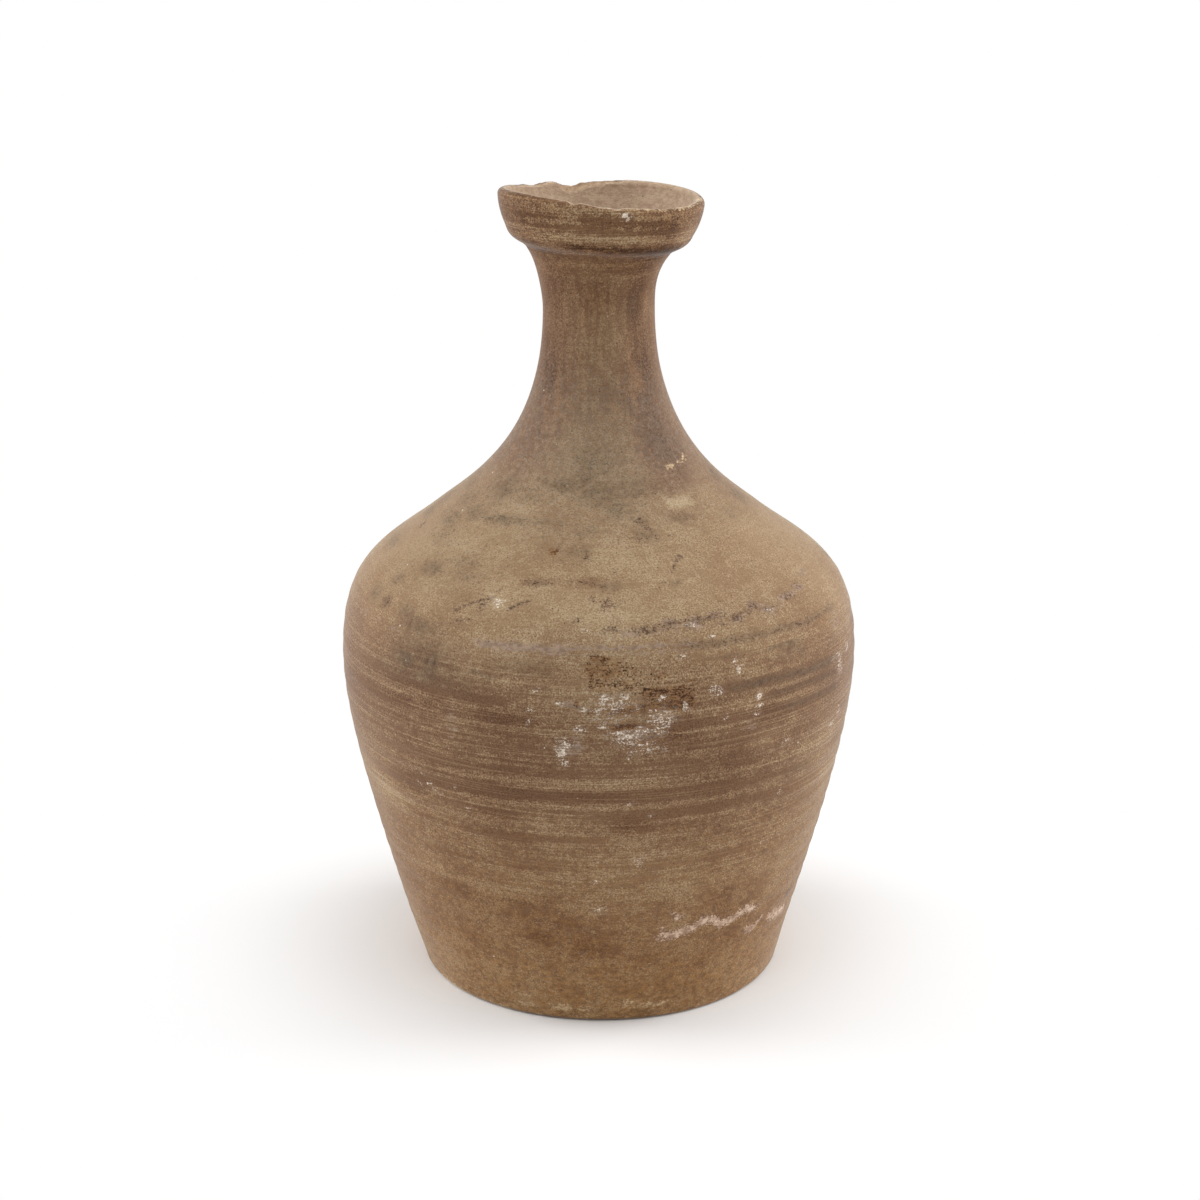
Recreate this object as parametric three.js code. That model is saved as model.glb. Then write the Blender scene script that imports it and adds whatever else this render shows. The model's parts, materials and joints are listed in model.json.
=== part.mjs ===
// Wine jug: a wheel-thrown stoneware bottle with a wide shoulder, a slim neck and a dished mouth.
// The potter throws it in five sections and lutes them together with slip, edge to edge:
// a base slab, the body, the shoulder, the neck and the dish mouth. Nothing on it moves.
// Millimetres, +Z up, +X to the right and -Y to the front. The origin is the middle of the base,
// on the surface that the jug stands on.

import * as THREE from "three";

// Outside, from the foot up
const HEIGHT = 381; // level of the lip before it warps
const FOOT_DIAMETER = 179;
const FOOT_EDGE = 2.5; // rounding of the worn bottom edge
const FOOT_LEAN = 0.3; // outward run of the wall for each millimetre that it rises
const BELLY_DIAMETER = 250.4;
const BELLY_HEIGHT = 160; // level of the widest turn
const SHOULDER_DIAMETER = 162.6;
const SHOULDER_HEIGHT = 228; // level where the shoulder turns from round to hollow
const SHOULDER_LEAN = -1.26; // inward run of the shoulder there for each millimetre of rise
const NECK_DIAMETER = 52.8;
const NECK_FLARE = 29; // from the slimmest turn up to the root of the dish
const DISH_DIAMETER = 96.6; // over the lip
const DISH_HEIGHT = 26; // from its root on the neck to the lip
const DISH_CORNER_DIAMETER = 86; // over the corner under the dish wall
const DISH_CORNER_RISE = 5.5; // from the root to that corner
const DISH_CORNER_ROUND = 3.5;
const DISH_ROOT_DIAMETER = 69; // where the dish sits on the neck
const DISH_ROOT_LEAN = 0.9; // outward run of the neck's top for each millimetre of rise
const DISH_WALL_SWELL = 0.8; // how far the dish wall bows outward between corner and lip

// Fullness of each curve: the share of its rise over which it keeps its first or last direction
const FOOT_HOLD = 0.51;
const BELLY_HOLD_BELOW = 0.186;
const BELLY_HOLD_ABOVE = 0.666;
const SHOULDER_HOLD_BELOW = 0.292;
const SHOULDER_HOLD_ABOVE = 0.143;
const NECK_HOLD_BELOW = 0.641;
const NECK_HOLD_ABOVE = 0.62;
const DISH_ROOT_HOLD = 0.1;

// Clay thickness
const BASE_THICKNESS = 12;
const WALL_FOOT = 10;
const WALL_BELLY = 8;
const WALL_NECK = 7;
const LIP_THICKNESS = 5.4;

// Lute joints: how far each lies below or above the turn of the shoulder, on the outside,
// and the slip left between the two edges
const SHOULDER_JOINT_DROP = 31;
const NECK_JOINT_RISE = 36;
const LUTE_GAP = 0.3;

// How the soft clay moved before it was fired
const MOUTH_TILT = THREE.MathUtils.degToRad(3.1); // the dish leans down to the right
const LIP_SADDLE = 1.3; // the lip rises front left and back right, and dips between
const BITE_FOCUS = 4; // how closely the bites keep to the lip
const SHOULDER_DRIFT = -1.3; // the shoulder lies off the wheel's axis by this, along X
const SHOULDER_DRIFT_SPREAD = 30;
const FOOT_DRIFT = 0.9; // the foot slumped off it by this along X
const FOOT_SLUMP = -1; // and by this along Y
const FOOT_DRIFT_SPREAD = 20;

// Bites broken out of the lip: where round the mouth (degrees from +X towards the back),
// and how wide along the lip and how deep
const BACK_BITE_AT = 104;
const BACK_BITE_WIDTH = 9.3;
const BACK_BITE_DEPTH = 2.6;
const FRONT_BITE_AT = 272;
const FRONT_BITE_WIDTH = 10;
const FRONT_BITE_DEPTH = 0.7;

// Facets
const TURNS = 60; // sides of the body sections
const MOUTH_TURNS = 96; // sides of the dish, so that the bites show
const CURVE_STEPS = 9; // straight runs in each curve of the outside
const INSIDE_EVERY = 2; // the inside keeps one of so many of the outside's points
const ROUND_STEPS = 5; // straight runs in a rounded edge
const STRAIGHT_STEPS = 3; // runs up the dish wall
const SLIVER_SHARE = 0.25; // a point nearer to a cut edge than this share of a run is left out
const HALVINGS = 40; // tries that find a level on a curve

// Levels that follow from these
const DISH_ROOT_LEVEL = HEIGHT - DISH_HEIGHT;
const DISH_CORNER_LEVEL = DISH_ROOT_LEVEL + DISH_CORNER_RISE;
const NECK_LEVEL = DISH_ROOT_LEVEL - NECK_FLARE;
const SHOULDER_JOINT_LEVEL = SHOULDER_HEIGHT - SHOULDER_JOINT_DROP;
const NECK_JOINT_LEVEL = SHOULDER_HEIGHT + NECK_JOINT_RISE;

const stoneware = (color, roughness) =>
  new THREE.MeshStandardMaterial({ color, roughness, metalness: 0 });

// A curve of the outline between two levels, each with its radius, its lean and its hold.
function rise(from, to) {
  const height = to.level - from.level;
  const start = new THREE.Vector2(from.radius, from.level);
  const end = new THREE.Vector2(to.radius, to.level);
  const leave = new THREE.Vector2(from.lean, 1).multiplyScalar(from.hold * height);
  const arrive = new THREE.Vector2(to.lean, 1).multiplyScalar(to.hold * height);
  return new THREE.CubicBezierCurve(start, start.clone().add(leave), end.clone().sub(arrive), end);
}

// The outside from the foot to the root of the dish, as one smooth line of four curves.
function outsideCurves() {
  const foot = { radius: FOOT_DIAMETER / 2, level: FOOT_EDGE, lean: FOOT_LEAN };
  const belly = { radius: BELLY_DIAMETER / 2, level: BELLY_HEIGHT, lean: 0 };
  const shoulder = { radius: SHOULDER_DIAMETER / 2, level: SHOULDER_HEIGHT, lean: SHOULDER_LEAN };
  const neck = { radius: NECK_DIAMETER / 2, level: NECK_LEVEL, lean: 0 };
  const root = { radius: DISH_ROOT_DIAMETER / 2, level: DISH_ROOT_LEVEL, lean: DISH_ROOT_LEAN };
  return [
    rise({ ...foot, hold: FOOT_HOLD }, { ...belly, hold: BELLY_HOLD_BELOW }),
    rise({ ...belly, hold: BELLY_HOLD_ABOVE }, { ...shoulder, hold: SHOULDER_HOLD_BELOW }),
    rise({ ...shoulder, hold: SHOULDER_HOLD_ABOVE }, { ...neck, hold: NECK_HOLD_BELOW }),
    rise({ ...neck, hold: NECK_HOLD_ABOVE }, { ...root, hold: DISH_ROOT_HOLD }),
  ];
}
const OUTSIDE = outsideCurves();

// Clay thickness at a level: thick at the foot, thinner at the belly and again at the neck.
function wallAt(level) {
  const { clamp, lerp } = THREE.MathUtils;
  const toBelly = clamp(level / BELLY_HEIGHT, 0, 1);
  const toNeck = clamp((level - BELLY_HEIGHT) / (NECK_LEVEL - BELLY_HEIGHT), 0, 1);
  return lerp(lerp(WALL_FOOT, WALL_BELLY, toBelly), WALL_NECK, toNeck);
}

// A place on the outside: its point, and the point square through the wall from it.
function place(curve, t) {
  const point = curve.getPoint(t);
  const along = curve.getTangent(t);
  const inward = new THREE.Vector2(-along.y, along.x);
  const inside = point.clone().addScaledVector(inward, wallAt(point.y));
  return { point, inside };
}

// The place on the outside at one level. The outline only rises, so halving finds it.
function placeAt(level) {
  const curve = OUTSIDE.find((c) => level <= c.v3.y) ?? OUTSIDE.at(-1);
  let low = 0;
  let high = 1;
  for (let i = 0; i < HALVINGS; i += 1) {
    const middle = (low + high) / 2;
    if (curve.getPoint(middle).y < level) low = middle;
    else high = middle;
  }
  return place(curve, low);
}

// The places on the outside from one level to another, both ends included.
function placesBetween(bottom, top) {
  const steps = Array.from({ length: CURVE_STEPS + 1 }, (_, i) => i / CURVE_STEPS);
  const clear = (SLIVER_SHARE * (top - bottom)) / CURVE_STEPS;
  const inner = OUTSIDE.flatMap((curve, i) => steps.slice(i ? 1 : 0).map((t) => place(curve, t)));
  const kept = inner.filter(({ point }) => point.y > bottom + clear && point.y < top - clear);
  return [placeAt(bottom), ...kept, placeAt(top)];
}

// A section of wall cut square at both ends, as a closed outline that runs up the outside.
// A level bottom stands flat on what is under it.
function wallOutline(bottom, top, levelBottom = false) {
  const places = placesBetween(bottom, top);
  const last = places.length - 1;
  const inside = places
    .filter((_, i) => i === 0 || i === last || i % INSIDE_EVERY === 0)
    .map((p) => p.inside);
  if (levelBottom) inside[0].set(places[0].point.x - wallAt(bottom), bottom);
  return [...places.map((p) => p.point), ...inside.reverse()];
}

// Spins a closed outline, or one that starts and ends on the axis, about +Z.
function spin(outline, turns) {
  const closed = outline[0].x > 0 ? [...outline, outline[0]] : outline;
  return new THREE.LatheGeometry(closed, turns).rotateX(Math.PI / 2);
}

// Moves a thrown point to where the soft clay ended up: foot and shoulder drift off the axis,
// the dish leans over on the top of the neck, and its lip warps and is bitten.
function settle(point) {
  const { smoothstep } = THREE.MathUtils;
  const turn = Math.atan2(point.y, point.x);
  const lip = smoothstep(point.z, DISH_ROOT_LEVEL, HEIGHT);
  const tilt = MOUTH_TILT * smoothstep(point.z, NECK_LEVEL, DISH_ROOT_LEVEL);
  const above = point.z - DISH_CORNER_LEVEL;
  const x = point.x * Math.cos(tilt) + above * Math.sin(tilt);
  const z = DISH_CORNER_LEVEL - point.x * Math.sin(tilt) + above * Math.cos(tilt);
  const shoulderShare = fade(point.z - SHOULDER_HEIGHT, SHOULDER_DRIFT_SPREAD);
  const footShare = fade(point.z, FOOT_DRIFT_SPREAD);
  const driftX = SHOULDER_DRIFT * shoulderShare + FOOT_DRIFT * footShare;
  const driftY = FOOT_SLUMP * footShare;
  const warp = LIP_SADDLE * Math.sin(2 * turn) * lip - biteAt(turn) * lip ** BITE_FOCUS;
  return point.set(x + driftX, point.y + driftY, z + warp);
}

// A bell curve: 1 where it starts, gone by about twice its spread.
function fade(distance, spread) {
  return Math.exp(-((distance / spread) ** 2));
}

// Depth of the bites round the lip at one turn.
function biteAt(turn) {
  return bite(turn, BACK_BITE_AT, BACK_BITE_WIDTH, BACK_BITE_DEPTH)
    + bite(turn, FRONT_BITE_AT, FRONT_BITE_WIDTH, FRONT_BITE_DEPTH);
}

function bite(turn, at, width, depth) {
  const { degToRad, euclideanModulo } = THREE.MathUtils;
  const aside = euclideanModulo(turn - degToRad(at) + Math.PI, 2 * Math.PI) - Math.PI;
  return depth * fade((aside * DISH_DIAMETER) / 2, width);
}

function section(name, outline, turns, material) {
  const geometry = spin(outline, turns);
  const position = geometry.getAttribute("position");
  const point = new THREE.Vector3();
  for (let i = 0; i < position.count; i += 1) {
    settle(point.fromBufferAttribute(position, i));
    position.setXYZ(i, point.x, point.y, point.z);
  }
  geometry.computeVertexNormals();
  const mesh = new THREE.Mesh(geometry, material);
  mesh.name = name;
  return mesh;
}

// The base slab: patted flat, worn round at its bottom edge, with the body's foot luted on top.
function baseSlab() {
  const radius = FOOT_DIAMETER / 2;
  const top = placeAt(BASE_THICKNESS).point;
  const edge = new THREE.Path()
    .absarc(radius - FOOT_EDGE, FOOT_EDGE, FOOT_EDGE, -Math.PI / 2, 0)
    .getPoints(ROUND_STEPS);
  const outline = [new THREE.Vector2(0, 0), ...edge, top, new THREE.Vector2(0, BASE_THICKNESS)];
  return section("base_slab", outline, TURNS, stoneware("#86694a", 0.9));
}

// The body: thrown as a tall bowl, from the slab up past the belly to the shoulder joint.
function body() {
  const outline = wallOutline(BASE_THICKNESS + LUTE_GAP, SHOULDER_JOINT_LEVEL - LUTE_GAP / 2, true);
  return section("body", outline, TURNS, stoneware("#7d6248", 0.88));
}

// The shoulder: thrown as a shallow open dome and set on the body's edge.
function shoulder() {
  const outline = wallOutline(SHOULDER_JOINT_LEVEL + LUTE_GAP / 2, NECK_JOINT_LEVEL - LUTE_GAP / 2);
  return section("shoulder", outline, TURNS, stoneware("#93784f", 0.85));
}

// The neck: a flared tube on the shoulder's opening.
function neck() {
  const outline = wallOutline(NECK_JOINT_LEVEL + LUTE_GAP / 2, DISH_ROOT_LEVEL - LUTE_GAP / 2);
  return section("neck", outline, TURNS, stoneware("#7b644b", 0.86));
}

// The dish mouth: a collar whose floor runs into the neck and whose lip is rounded over.
function dishMouth() {
  const root = placeAt(DISH_ROOT_LEVEL);
  const slip = new THREE.Vector2(DISH_ROOT_LEAN, 1).normalize().multiplyScalar(LUTE_GAP / 2);
  const outer = root.point.clone().add(slip);
  const inner = root.inside.clone().add(slip);
  const corner = new THREE.Vector2(DISH_CORNER_DIAMETER / 2, DISH_CORNER_LEVEL);
  const lipRound = LIP_THICKNESS / 2;
  const lip = new THREE.Vector2(DISH_DIAMETER / 2 - lipRound, HEIGHT - lipRound);
  const lipSide = new THREE.Vector2(lip.x + lipRound, lip.y);
  const lipInside = new THREE.Vector2(lip.x - lipRound, lip.y);
  const beforeCorner = corner.clone().lerp(outer, DISH_CORNER_ROUND / corner.distanceTo(outer));
  const afterCorner = corner.clone().lerp(lipSide, DISH_CORNER_ROUND / corner.distanceTo(lipSide));
  const bow = afterCorner.clone().lerp(lipSide, 0.5);
  bow.x += 2 * DISH_WALL_SWELL;
  const floor = new THREE.Vector2(lipInside.x - LIP_THICKNESS, inner.y + LIP_THICKNESS);

  const under = new THREE.QuadraticBezierCurve(beforeCorner, corner, afterCorner).getPoints(STRAIGHT_STEPS);
  const wall = new THREE.QuadraticBezierCurve(afterCorner, bow, lipSide).getPoints(STRAIGHT_STEPS);
  const crest = new THREE.Path().absarc(lip.x, lip.y, lipRound, 0, Math.PI).getPoints(ROUND_STEPS);
  const inside = new THREE.QuadraticBezierCurve(lipInside, floor, inner).getPoints(ROUND_STEPS);
  const outline = [outer, ...under, ...wall.slice(1, -1), ...crest, ...inside.slice(1)];
  return section("dish_mouth", outline, MOUTH_TURNS, stoneware("#7a5f45", 0.85));
}

const jug = new THREE.Group();
jug.name = "wine_jug";
jug.add(baseSlab(), body(), shoulder(), neck(), dishMouth());

export default jug;
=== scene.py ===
# %% [markdown]
# # A wheel-thrown stoneware wine jug
# The jug was thrown in five sections on a potter's wheel, luted together with slip and fired without
# a glaze. Age did the rest: the lip is broken, the foot is rubbed, and ash, lime and earth cling to it.
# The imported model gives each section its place. Here each one is thrown again with a fine mesh, gets
# the marks of the potter's fingers and of wear, and is coloured by one procedural stoneware.

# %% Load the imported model
import json
import math
from collections import namedtuple
from types import SimpleNamespace

import bmesh
import bpy
import numpy as np
from mathutils import Matrix, Vector
from mathutils.geometry import interpolate_bezier

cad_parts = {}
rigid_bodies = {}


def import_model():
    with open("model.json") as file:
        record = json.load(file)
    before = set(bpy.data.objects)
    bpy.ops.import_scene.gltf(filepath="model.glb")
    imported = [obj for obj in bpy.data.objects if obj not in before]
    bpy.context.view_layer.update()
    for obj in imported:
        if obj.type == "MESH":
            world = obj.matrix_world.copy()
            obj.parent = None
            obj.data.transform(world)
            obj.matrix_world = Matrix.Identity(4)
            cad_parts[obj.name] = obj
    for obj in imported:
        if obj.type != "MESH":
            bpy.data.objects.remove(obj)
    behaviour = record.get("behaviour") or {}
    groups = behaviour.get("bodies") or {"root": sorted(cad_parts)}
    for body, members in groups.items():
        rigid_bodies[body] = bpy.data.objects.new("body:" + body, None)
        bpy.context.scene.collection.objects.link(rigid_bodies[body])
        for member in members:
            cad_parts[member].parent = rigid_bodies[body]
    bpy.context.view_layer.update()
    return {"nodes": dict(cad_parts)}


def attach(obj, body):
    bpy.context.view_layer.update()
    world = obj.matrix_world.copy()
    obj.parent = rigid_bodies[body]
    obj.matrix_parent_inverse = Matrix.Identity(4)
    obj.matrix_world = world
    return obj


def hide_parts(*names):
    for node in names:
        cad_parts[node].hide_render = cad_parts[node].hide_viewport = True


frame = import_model()
scene = bpy.context.scene
scene.view_settings.view_transform = "Standard"
print("sections in the frame:", ", ".join(sorted(frame["nodes"])))

# %% [markdown]
# ## The camera
# The jug is seen from a little above, from about a metre away, through a short telephoto lens. The
# pitch was read from how wide the ellipses of the mouth and the foot look. The camera comes first, so
# that every later step can be judged in the finished frame.

# %% Place the camera
EYE = (0.0005, -1.1124, 0.527)
PITCH_DOWN = 17.22
LENS_MM = 71.28
SENSOR_MM = 36

camera = bpy.data.objects.new("camera", bpy.data.cameras.new("camera"))
camera.data.lens = LENS_MM
camera.data.sensor_width = SENSOR_MM
camera.location = EYE
camera.rotation_euler = (math.radians(90 - PITCH_DOWN), 0, 0)
scene.collection.objects.link(camera)
scene.camera = camera
print("camera", EYE, "looking down", PITCH_DOWN, "degrees")

# %% [markdown]
# ## The outline
# A pot is drawn by half of its outline. Five knots hold it: foot, belly, the turn of the shoulder, the
# neck's waist and the root of the dish. At each knot the wall leans by so much run for each millimetre
# of rise, and it keeps that lean for a share of the way to the next knot. Between two knots
# that is a cubic curve, so `interpolate_bezier` draws it. A spun polygon of a few points would show
# corners, and a subdivision surface would drift away from the frame's sizes.

# %% Draw the outline in millimetres
MM = 0.001
Knot = namedtuple("Knot", "radius level lean hold_below hold_above")
FOOT = Knot(89.5, 2.5, 0.30, 0, 0.51)
BELLY = Knot(125.2, 160, 0, 0.186, 0.666)
SHOULDER = Knot(81.3, 228, -1.26, 0.292, 0.143)
NECK = Knot(26.4, 326, 0, 0.641, 0.62)
DISH_ROOT = Knot(34.5, 355, 0.9, 0.1, 0)
CURVE_POINTS = 240


def rise(low, high):
    """The points of the wall from one knot up to the next."""
    height = high.level - low.level
    start = Vector((low.radius, low.level, 0))
    end = Vector((high.radius, high.level, 0))
    leave = start + Vector((low.lean, 1, 0)) * low.hold_above * height
    arrive = end - Vector((high.lean, 1, 0)) * high.hold_below * height
    return [point.xy for point in interpolate_bezier(start, leave, arrive, end, CURVE_POINTS)]


knots = [FOOT, BELLY, SHOULDER, NECK, DISH_ROOT]
outline = np.array([point for pair in zip(knots, knots[1:]) for point in rise(*pair)])
print("outline of", len(outline), "points, widest", round(2 * outline[:, 0].max(), 1), "mm")

# %% [markdown]
# ## From an outline to a ring
# Each section's cross-section is a closed ring of points: up the outside in fine steps, and down the
# inside in coarse ones, because nobody looks into the body. Every point also keeps the way its surface
# faces, so that later marks can be pushed in or raised along it.

# %% Cut the outline into sections
INSIDE_STEP = 8.0
WALL_LEVELS = (0, 160, 326)
WALL_THICKNESS = (10, 8, 7)


def walk(points, step):
    """Evenly spaced points along a line of points, and the way that its right-hand side faces."""
    points = np.asarray(points, float)
    lengths = np.append(0, np.cumsum(np.linalg.norm(np.diff(points, axis=0), axis=1)))
    count = max(2, round(lengths[-1] / step) + 1)
    places = np.linspace(0, lengths[-1], count)
    line = np.column_stack([np.interp(places, lengths, points[:, axis]) for axis in (0, 1)])
    along = np.gradient(line, axis=0)
    along /= np.linalg.norm(along, axis=1)[:, None]
    return line, np.column_stack([along[:, 1], -along[:, 0]])


def between(low, high):
    """The outline's points from one level to another."""
    inner = outline[(outline[:, 1] > low) & (outline[:, 1] < high)]
    ends = [(np.interp(level, outline[:, 1], outline[:, 0]), level) for level in (low, high)]
    return np.vstack([ends[0], inner, ends[1]])


def wall_ring(low, high, step):
    """A wall between two levels: radius, level, facing out, facing up, and 1 where it is seen."""
    line, facing = walk(between(low, high), step)
    outside = np.column_stack([line, facing, np.ones(len(line))])
    line, facing = walk(between(low, high), INSIDE_STEP)
    thickness = np.interp(line[:, 1], WALL_LEVELS, WALL_THICKNESS)
    inside = np.column_stack([line - facing * thickness[:, None], -facing, np.zeros(len(line))])
    return np.vstack([outside, inside[::-1]])


print("wall of", WALL_THICKNESS[0], "mm at the foot and", WALL_THICKNESS[-1], "mm at the neck")

# %% [markdown]
# ## Throwing a section
# A wheel turns the clay, and `bmesh.ops.spin` does the same: it carries the ring of points round the
# axis and leaves faces behind. A spin of hundreds of steps is slow, because each step looks at the
# whole mesh, so one wedge is spun first and a second spin copies the wedge all round. All sections
# have the same columns, so their edges meet point for point at the joints. The wedges' shared sides,
# and the points on the axis of the base, are doubles, which are merged before the normals are
# recalculated.

# %% Spin the rings
WEDGES = 24
COLUMNS_IN_WEDGE = 20
SAME_PLACE = 4e-6  # metres, far less than any step of the mesh


def throw(name, ring, closed=True):
    """Spins a ring of points into a section of the jug."""
    section = bmesh.new()
    facing = section.verts.layers.float_vector.new("facing")
    corners = []
    for radius, level, out, up, seen in ring:
        corner = section.verts.new((0, radius * MM, level * MM))
        corner[facing] = (out, up, seen)
        corners.append(corner)
    follow = corners[1:] + corners[:1] if closed else corners[1:]
    edges = [section.edges.new(pair) for pair in zip(corners, follow)]
    wedge = 2 * math.pi / WEDGES
    wheel = {"cent": (0, 0, 0), "axis": (0, 0, 1)}
    bmesh.ops.spin(section, geom=corners + edges, angle=wedge, steps=COLUMNS_IN_WEDGE, **wheel)
    bmesh.ops.spin(section, geom=[*section.verts, *section.edges, *section.faces],
                   angle=wedge * (WEDGES - 1), steps=WEDGES - 1, use_duplicate=True, **wheel)
    bmesh.ops.remove_doubles(section, verts=section.verts, dist=SAME_PLACE)
    bmesh.ops.recalc_face_normals(section, faces=section.faces)
    mesh = bpy.data.meshes.new(name)
    section.to_mesh(mesh)
    section.free()
    piece = bpy.data.objects.new(name, mesh)
    scene.collection.objects.link(piece)
    print(name, "has", sum(len(face.vertices) - 2 for face in mesh.polygons), "triangles")
    return piece


print("columns round the jug:", WEDGES * COLUMNS_IN_WEDGE)

# %% [markdown]
# ## Body, shoulder and neck
# The three walls are one outline cut at its joints. The shoulder's joint is where the throwing rings
# stop, and the neck's joint lies where the shoulder begins to rise. Each wall could be lofted on its
# own, but cuts of one outline meet exactly, so no crack shows at the joints.

# %% Throw the three walls
BASE_TOP = 12.15
SHOULDER_JOINT = 197.0
NECK_JOINT = 264.0
WALL_STEP = 1.15

pieces = {
    "body": throw("body_clay", wall_ring(BASE_TOP, SHOULDER_JOINT, WALL_STEP)),
    "shoulder": throw("shoulder_clay", wall_ring(SHOULDER_JOINT, NECK_JOINT, WALL_STEP)),
    "neck": throw("neck_clay", wall_ring(NECK_JOINT, DISH_ROOT.level, WALL_STEP)),
}

# %% [markdown]
# ## The base
# The base is a slab with a flat underside and a small rounded edge that the table has rubbed. A cylinder
# with a bevel would do from afar, but its columns wouldn't meet the wall's, so it is thrown as well. Its
# outline starts and ends on the axis: it stays open there, and the spin closes it.

# %% Throw the base
FOOT_EDGE = 2.5
EDGE_POINTS = 7
EDGE_STEP = 0.6
ABOVE_EDGE = 0.1
UNDERSIDE_STEP = 3.0
HIDDEN_TOP_STEP = 12.0


def base_ring():
    """The slab from the middle of its underside, round its edge, to the middle of its hidden top."""
    turns = np.linspace(-math.pi / 2, math.atan2(-FOOT.lean, 1), EDGE_POINTS)
    centre = np.array([FOOT.radius - FOOT_EDGE, FOOT.level])
    edge = centre + FOOT_EDGE * np.column_stack([np.cos(turns), np.sin(turns)])
    wall = between(edge[-1][1] + ABOVE_EDGE, BASE_TOP)
    under, under_facing = walk([(0, 0), edge[0]], UNDERSIDE_STEP)
    side, side_facing = walk(np.vstack([edge, wall]), EDGE_STEP)
    top, top_facing = walk([wall[-1], (0, BASE_TOP)], HIDDEN_TOP_STEP)
    stretches = [(under[:-1], under_facing[:-1], 1), (side, side_facing, 1), (top[1:], top_facing[1:], 0)]
    return np.vstack([np.column_stack([line, facing, np.full(len(line), seen)])
                      for line, facing, seen in stretches])


pieces["base_slab"] = throw("base_clay", base_ring(), closed=False)

# %% [markdown]
# ## The dished mouth
# The mouth is a shallow bowl on the neck: a sharp turn outwards under it, a rounded corner, a wall
# that swells a little, a lip as thick as a finger is round, and a smooth bowl inside. It is the part
# that a hand and an eye meet first, so its steps are the finest. Each bend is drawn from its two ends
# and the corner that it rounds off, which is how a potter thinks of a rib held against the clay.

# %% Throw the dish
HEIGHT = 381.0
DISH_RADIUS = 48.3
LIP_ROUND = 2.7
DISH_CORNER = (43.0, 360.5)
CORNER_ROUND = 3.6
WALL_SWELL = 0.8
BOWL_CORNER = 2 * LIP_ROUND
DISH_STEP = 0.62
BEND_POINTS, BOWL_POINTS = 24, 40
HANDLE_REACH = 2 / 3  # of the way to the corner, which makes an even bend


def bend(start, corner, end, count=BEND_POINTS):
    """A curve that leaves start towards corner and arrives at end from there."""
    start, corner, end = (Vector((*point, 0)) for point in (start, corner, end))
    handles = start.lerp(corner, HANDLE_REACH), end.lerp(corner, HANDLE_REACH)
    return [tuple(point.xy) for point in interpolate_bezier(start, *handles, end, count)]


def dish_ring():
    """The dish from its root up the outside, over the lip and down the bowl inside."""
    root = Vector((DISH_ROOT.radius, DISH_ROOT.level))
    corner = Vector(DISH_CORNER)
    lip = Vector((DISH_RADIUS - LIP_ROUND, HEIGHT - LIP_ROUND))
    lip_outside = lip + Vector((LIP_ROUND, 0))
    lip_inside = lip - Vector((LIP_ROUND, 0))
    below = corner + (root - corner).normalized() * CORNER_ROUND
    above = corner + (lip_outside - corner).normalized() * CORNER_ROUND
    swollen = above.lerp(lip_outside, 0.5) + Vector((2 * WALL_SWELL, 0))
    turns = np.linspace(0, math.pi, BEND_POINTS)[1:-1]
    crest = [(lip.x + LIP_ROUND * math.cos(turn), lip.y + LIP_ROUND * math.sin(turn)) for turn in turns]
    lean = Vector((DISH_ROOT.lean, 1)).normalized()
    inner_root = root + Vector((-lean.y, lean.x)) * WALL_THICKNESS[-1]
    bowl = (lip_inside.x - BOWL_CORNER, inner_root.y + BOWL_CORNER)
    outside = [tuple(root), *bend(below, corner, above), *bend(above, swollen, lip_outside)[1:]]
    inside = bend(lip_inside, bowl, inner_root, BOWL_POINTS)
    line, facing = walk(outside + crest + inside, DISH_STEP)
    return np.column_stack([line, facing, np.ones(len(line))])


pieces["dish_mouth"] = throw("mouth_clay", dish_ring())

# %% [markdown]
# ## The skin as arrays
# The next steps move and colour hundreds of thousands of points. Blender hands them over as arrays, so
# that one line of arithmetic moves them all, where a loop over vertices would take minutes. `turn` is
# the angle from the front, to the right, and `level` the height before anything has settled: marks are
# placed with these two, as on a map.

# %% Read each piece's points
ON_THE_AXIS = 0.001  # mm, so that the middle of the base divides by more than 0
FACING_IN = -0.05  # a little past upright: the whole crest of the lip is outside


def read_skin(piece):
    """A piece's points in mm, where they are on the map, and which of them are outside or inside."""
    count = len(piece.data.vertices)
    places = np.empty(3 * count)
    piece.data.vertices.foreach_get("co", places)
    facing = np.empty(3 * count)
    piece.data.attributes["facing"].data.foreach_get("vector", facing)
    points = places.reshape(-1, 3) / MM
    out, up, seen = facing.reshape(-1, 3).T
    radius = np.hypot(points[:, 0], points[:, 1])
    away = points[:, :2] / np.maximum(radius, ON_THE_AXIS)[:, None]
    return SimpleNamespace(
        points=points, radius=radius, level=points[:, 2].copy(), seen=seen,
        turn=np.degrees(np.arctan2(points[:, 0], -points[:, 1])),
        outside=seen * (out > FACING_IN), inside=seen * (out <= FACING_IN),
        facing=np.column_stack([away * out[:, None], up]))


skins = {node: read_skin(piece) for node, piece in pieces.items()}
print("points in all:", sum(len(skin.points) for skin in skins.values()))

# %% [markdown]
# ## Random but the same each time
# Clay is never even. Random values sit at the corners of a cubic lattice, and a point takes a smooth
# mean of the eight around it. The lattice is seeded, so every run gives the same jug, and a size in
# millimetres says how far apart its corners are. Blender's own `noise.noise` does the same for one
# point at a time, which is slow for a quarter of a million.

# %% Uneven values over the skin
LATTICE = 64
SEED_SHIFT = 17.37  # lattice steps from one seed to the next
lattice = np.random.default_rng(5).uniform(-1, 1, (LATTICE, LATTICE, LATTICE))


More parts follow.
